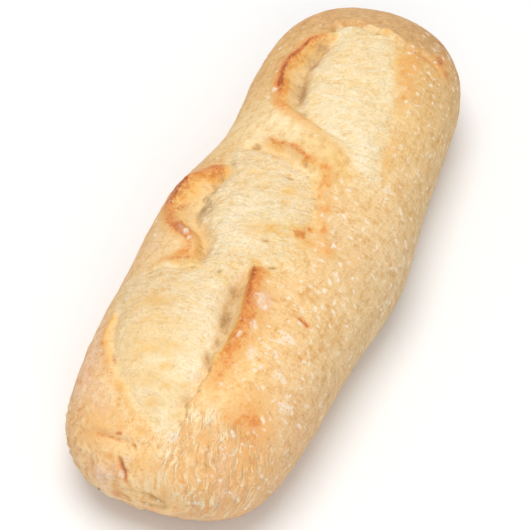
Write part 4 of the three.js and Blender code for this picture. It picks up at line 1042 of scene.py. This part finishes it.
# fine wrinkles drawn out of the slash's tip: painted highlight on the ridges, painted shade in orange between them
wr = math_("MULTIPLY", thin(n_wrk, 0.080), remap(n_gate, 0.34, 0.56, 0.5, 1.0))
wr = math_("MAXIMUM", wr, math_("MULTIPLY", thin(n_wrk2, 0.055), 0.45))
wr = math_("MULTIPLY", wr, a_drawn)
wrinkle_painted_shade = math_("MULTIPLY", math_("SUBTRACT", a_drawn, wr, clamp=True), remap(n_mid, 0.40, 0.62, 0.06, 0.66))
crust = mix(wrinkle_painted_shade, crust, srgb(236, 156, 88))
crust = mix(wr, crust, srgb(255, 242, 206))
cr = math_("MULTIPLY", thin(n_crz, 0.012), 0.9)
cr = math_("MAXIMUM", cr, math_("MULTIPLY", thin(n_crz2, 0.018), 0.55))
cr = math_("MULTIPLY", math_("MULTIPLY", cr, a_crazed), remap(n_gate, 0.42, 0.6))
crust = mix(math_("MULTIPLY", cr, 0.8), crust, srgb(255, 238, 206))
# painted highlight on the raised crust lines of wrinkles, crazing and folds
crust = mix(math_("MULTIPLY", a_raised_line_painted_highlight, remap(n_small, 0.3, 0.6, 0.35, 0.9)), crust, srgb(255, 228, 178))
# rosy, floured skin
pink_n = math_("ADD", a_pink, math_("ADD", centred(n_mid, 0.9), centred(n_fine, 0.7)))
crust = mix(remap(pink_n, 0.22, 0.95, 0.0, 0.72), crust, srgb(236, 186, 150))
crust = mix(remap(math_("ADD", pink_n, centred(n_small, 1.6)), 0.62, 1.15, 0.0, 0.6), crust, srgb(250, 228, 208))
# toasted orange, then dark baked lips, and painted shade in the crust's grooves and cracks
rough_n = math_("ADD", centred(n_mid, 3.0), math_("ADD", centred(n_small, 3.0), centred(n_fine, 2.4)))
gold_n = math_("MULTIPLY", a_gold, math_("ADD", 1.0, math_("MULTIPLY", rough_n, 0.72)))
crust = mix(remap(gold_n, 0.0, 0.65, 0.0, 0.80), crust, srgb(243, 186, 112))
crust = mix(remap(gold_n, 0.35, 1.20, 0.0, 0.90), crust, srgb(230, 144, 66))
burn_and_crease_shade_n = math_("MULTIPLY", a_burn_and_crease_shade, math_("ADD", 1.0, math_("MULTIPLY", rough_n, 0.8)))
crust = mix(remap(burn_and_crease_shade_n, 0.08, 0.70, 0.0, 0.88), crust, srgb(220, 130, 62))
crust = mix(remap(burn_and_crease_shade_n, 0.55, 1.20, 0.0, 0.86), crust, srgb(172, 82, 38))

dusted = math_("MULTIPLY", a_pink, math_("ADD", 1.0, math_("ADD", centred(n_mid, 4.0), math_("ADD", centred(n_small, 4.0), centred(n_fine, 3.0)))))
crust = mix(remap(dusted, 0.25, 1.30, 0.0, 0.62), crust, srgb(246, 214, 188))

# crumb: cream, tanned and golden where it toasted, streaked along the tears, with painted shade in pits, hollows, along
# fine ledges and beside the lips, and painted highlight on raised ledges
crumb_c = mix(remap(n_big, 0.40, 0.62), srgb(252, 232, 190), srgb(249, 220, 164))
crumb_c = mix(a_warm, crumb_c, (0.985, 0.915, 0.80, 1.0), "MULTIPLY")
crumb_c = mix(math_("MULTIPLY", a_tan, remap(n_mid, 0.3, 0.7, 0.55, 1.0)), crumb_c, srgb(238, 196, 138))
crumb_c = mix(math_("MULTIPLY", a_pale, remap(n_mid, 0.3, 0.7, 0.5, 1.0)), crumb_c, srgb(255, 241, 212))
cv = math_("ADD", centred(n_tear, 10.0), centred(n_tear2, 10.0))
cv = math_("ADD", cv, centred(n_strand, 12.0))
cv = math_("MULTIPLY", cv, math_("MULTIPLY_ADD", a_strandy, 0.8, 0.25))
cv = math_("ADD", cv, math_("ADD", centred(n_blot, 3.0), centred(n_mid, 8.0)))
cv = math_("ADD", cv, math_("ADD", centred(n_small, 9.0), centred(n_fine, 10.0)))
crumb_c = vary(crumb_c, cv, (0.030, 0.062, 0.12))
crumb_c = mix(remap(math_("ADD", n_mid, centred(n_tear, 0.5)), 0.52, 0.70, 0.0, 0.62), crumb_c, srgb(251, 211, 138))
# painted shade along the crumb's fine ledges, with a painted highlight on the lip just beside each
ledge_painted_shade = math_("MULTIPLY", thin(n_ledge, 0.016), remap(n_gate, 0.46, 0.58))
ledge_painted_shade = math_("MULTIPLY", ledge_painted_shade, math_("MULTIPLY", remap(a_crumb, 0.6, 1.0), a_strandy))
crumb_c = mix(math_("MULTIPLY", ledge_painted_shade, 0.55), crumb_c, srgb(214, 172, 112))
ledge_lip_painted_highlight = math_("MULTIPLY", thin(n_ledge, 0.018, 0.545), math_("MULTIPLY", remap(n_gate, 0.40, 0.56), a_strandy))
crumb_c = mix(math_("MULTIPLY", ledge_lip_painted_highlight, 0.6), crumb_c, srgb(255, 247, 224))
# painted highlight on the crumb's raised ledges
crumb_c = mix(math_("MULTIPLY", a_raised_painted_highlight, remap(n_tear2, 0.35, 0.65, 0.10, 0.55)), crumb_c, srgb(255, 243, 216))
crumb_c = mix(remap(gold_n, 0.0, 0.55, 0.0, 0.85), crumb_c, srgb(246, 200, 122))
crumb_c = mix(remap(gold_n, 0.35, 1.05, 0.0, 0.90), crumb_c, srgb(230, 152, 70))
# painted shade in the crumb's hollows, pits and pores
crumb_c = mix(math_("MULTIPLY", a_pit_painted_shade, remap(n_fine, 0.3, 0.7, 0.42, 0.80)), crumb_c, srgb(214, 172, 112))
# painted shade in the crumb's valleys, crevices and pits, in olive brown
painted_shade_n = math_("MULTIPLY", a_painted_shade, math_("ADD", 1.0, math_("MULTIPLY", rough_n, 0.7)))
crumb_c = mix(remap(painted_shade_n, 0.08, 0.85, 0.0, 0.88), crumb_c, srgb(200, 163, 115))
crumb_c = mix(remap(painted_shade_n, 0.80, 1.25, 0.0, 0.7), crumb_c, srgb(172, 134, 88))
crumb_c = mix(remap(burn_and_crease_shade_n, 0.20, 0.85, 0.0, 0.80), crumb_c, srgb(208, 128, 68))
crumb_c = mix(remap(burn_and_crease_shade_n, 0.70, 1.2, 0.0, 0.8), crumb_c, srgb(164, 84, 44))
# painted shade in the crust's cracks and dents, in olive brown
crust = mix(remap(painted_shade_n, 0.15, 1.0, 0.0, 0.8), crust, srgb(196, 152, 92))

edge = math_("MULTIPLY", math_("MULTIPLY", a_crumb, math_("SUBTRACT", 1.0, a_crumb)), 4.0)
edge = math_("MULTIPLY", edge, math_("ADD", centred(n_small, 1.2), math_("ADD", centred(n_mid, 1.4), centred(n_fine, 1.0))))
m_crumb = remap(math_("ADD", a_crumb, edge), 0.05, 0.95, smooth=False)
colour = mix(m_crumb, crust, crumb_c)

# flour: rubbed-in patches, and small streaky specks over the crust
fl_n = math_("MULTIPLY", a_flour, math_("ADD", 1.0, math_("ADD", centred(n_small, 5.0), centred(n_fine, 4.0))))
fl = remap(fl_n, 0.10, 1.1, 0.0, 0.78)
speckle = noise_(scaled(skin, 0.50, 0.30, 1.0), 1.0, 2, 0.45, 0.2)
speckle = math_("ADD", speckle, centred(n_blot, 0.30))
speckle = math_("ADD", speckle, math_("MULTIPLY_ADD", a_dust, 0.09, -0.09))
sp = remap(speckle, 0.605, 0.77, 0.0, 0.80)
dots = math_("ADD", noise_(body, 0.36, 1, 0.4), math_("ADD", centred(n_mid, 0.3), centred(n_fine, 0.15)))
dots = math_("ADD", dots, math_("MULTIPLY_ADD", a_dust, 0.07, -0.07))
sp = math_("MAXIMUM", sp, remap(dots, 0.635, 0.77, 0.0, 0.85))
sp = math_("MULTIPLY", sp, math_("SUBTRACT", 1.0, math_("MULTIPLY", m_crumb, 0.85)))
sp = math_("MULTIPLY", sp, math_("SUBTRACT", 1.0, math_("MULTIPLY", remap(burn_and_crease_shade_n, 0.3, 0.8), 0.8)))
sp = math_("MULTIPLY", sp, math_("MULTIPLY", math_("SUBTRACT", 1.0, a_sole), not_sleek))
white = math_("MAXIMUM", fl, sp)
colour = mix(white, colour, srgb(251, 235, 212))
colour = mix(remap(n_grain, 0.52, 0.72, 0.0, 0.14), colour, srgb(206, 150, 92))
links.new(colour, bsdf.inputs["Base Color"])

rough = mix(m_crumb, remap(n_small, 0.3, 0.7, 0.54, 0.70), (0.92, 0.92, 0.92, 1))
rough = mix(white, rough, (0.95, 0.95, 0.95, 1))
rough = mix(remap(burn_and_crease_shade_n, 0.2, 0.8, 0.0, 0.7), rough, (0.42, 0.42, 0.42, 1))
links.new(rough, bsdf.inputs["Roughness"])
bsdf.inputs["Metallic"].default_value = 0.0
bsdf.inputs["Specular IOR Level"].default_value = 0.32
bsdf.inputs["IOR"].default_value = 1.45

h_crust = math_("ADD", centred(n_small, 0.40), centred(n_fine, 0.30))
h_crust = math_("ADD", h_crust, math_("MULTIPLY", centred(n_fib, 0.30), a_flank))
h_crust = math_("ADD", h_crust, math_("MULTIPLY_ADD", wr, 0.30, math_("MULTIPLY", a_drawn, -0.14)))
h_crumb = math_("ADD", centred(n_tear, 0.60), centred(n_tear2, 0.45))
h_crumb = math_("MULTIPLY", math_("ADD", h_crumb, centred(n_strand, 0.45)), a_strandy)
h_crumb = math_("ADD", h_crumb, centred(n_small, 0.40))
h_crumb = math_("ADD", h_crumb, centred(n_fine, 0.36))
h_mix = nodes.new("ShaderNodeMix")
h_mix.data_type = "FLOAT"
links.new(m_crumb, h_mix.inputs[0])
links.new(h_crust, h_mix.inputs[2])
links.new(h_crumb, h_mix.inputs[3])
bump = nodes.new("ShaderNodeBump")
bump.inputs["Strength"].default_value = 1.0
bump.inputs["Distance"].default_value = 0.0008
links.new(h_mix.outputs[0], bump.inputs["Height"])
links.new(bump.outputs["Normal"], bsdf.inputs["Normal"])
me.materials.append(mat)

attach(loaf, "root")
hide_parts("loaf")

# ---------------------------------------------------------------- floor, light, camera
bpy.ops.mesh.primitive_plane_add(size=12.0, location=(0, 0, -0.0002))
floor = bpy.context.object
floor.name = "floor"
fm = bpy.data.materials.new("floor_paper")
fm.use_nodes = True
fb = fm.node_tree.nodes["Principled BSDF"]
fb.inputs["Base Color"].default_value = (0.92, 0.92, 0.92, 1)
fb.inputs["Roughness"].default_value = 0.9
floor.data.materials.append(fm)

scene = bpy.context.scene
world = bpy.data.worlds.new("studio")
scene.world = world
world.use_nodes = True
world.node_tree.nodes["Background"].inputs["Color"].default_value = (1.0, 0.995, 0.985, 1)
world.node_tree.nodes["Background"].inputs["Strength"].default_value = 0.50


def area(name, loc, target, size, power, colour=(1, 1, 1)):
    ld = bpy.data.lights.new(name, "AREA")
    ld.shape = "DISK"
    ld.size = size
    ld.energy = power
    ld.color = colour
    o = bpy.data.objects.new(name, ld)
    scene.collection.objects.link(o)
    o.location = loc
    o.rotation_mode = "QUATERNION"
    o.rotation_quaternion = (Vector(target) - Vector(loc)).to_track_quat("-Z", "Y")
    return o


area("top_softbox", (0.05, 0.10, 1.25), (0, 0, 0), 0.9, 9.2)
area("fill_softbox", (-1.0, -0.5, 0.9), (0, 0, 0), 0.8, 4.0)

scene.view_settings.view_transform = "Standard"
scene.view_settings.look = "None"
scene.view_settings.exposure = 0.0
scene.view_settings.gamma = 1.0

CAM_AZIMUTH, CAM_ELEVATION, CAM_DISTANCE = -68.937, 51.56, 0.7475
CAM_TARGET = Vector((-0.01132, 0.00094 + SHIFT_Y / 1000, 0.02108))
az, el = math.radians(CAM_AZIMUTH), math.radians(CAM_ELEVATION)
back = Vector((math.sin(az) * math.cos(el), -math.cos(az) * math.cos(el), math.sin(el)))
cam = bpy.data.objects.new("camera", bpy.data.cameras.new("camera"))
scene.collection.objects.link(cam)
cam.data.sensor_width = 36.0
cam.data.lens = 144.2
cam.data.clip_start = 0.01
cam.data.clip_end = 20.0
cam.location = CAM_TARGET + back * CAM_DISTANCE
cam.rotation_mode = "QUATERNION"
cam.rotation_quaternion = (-back).to_track_quat("-Z", "Y")
scene.camera = cam
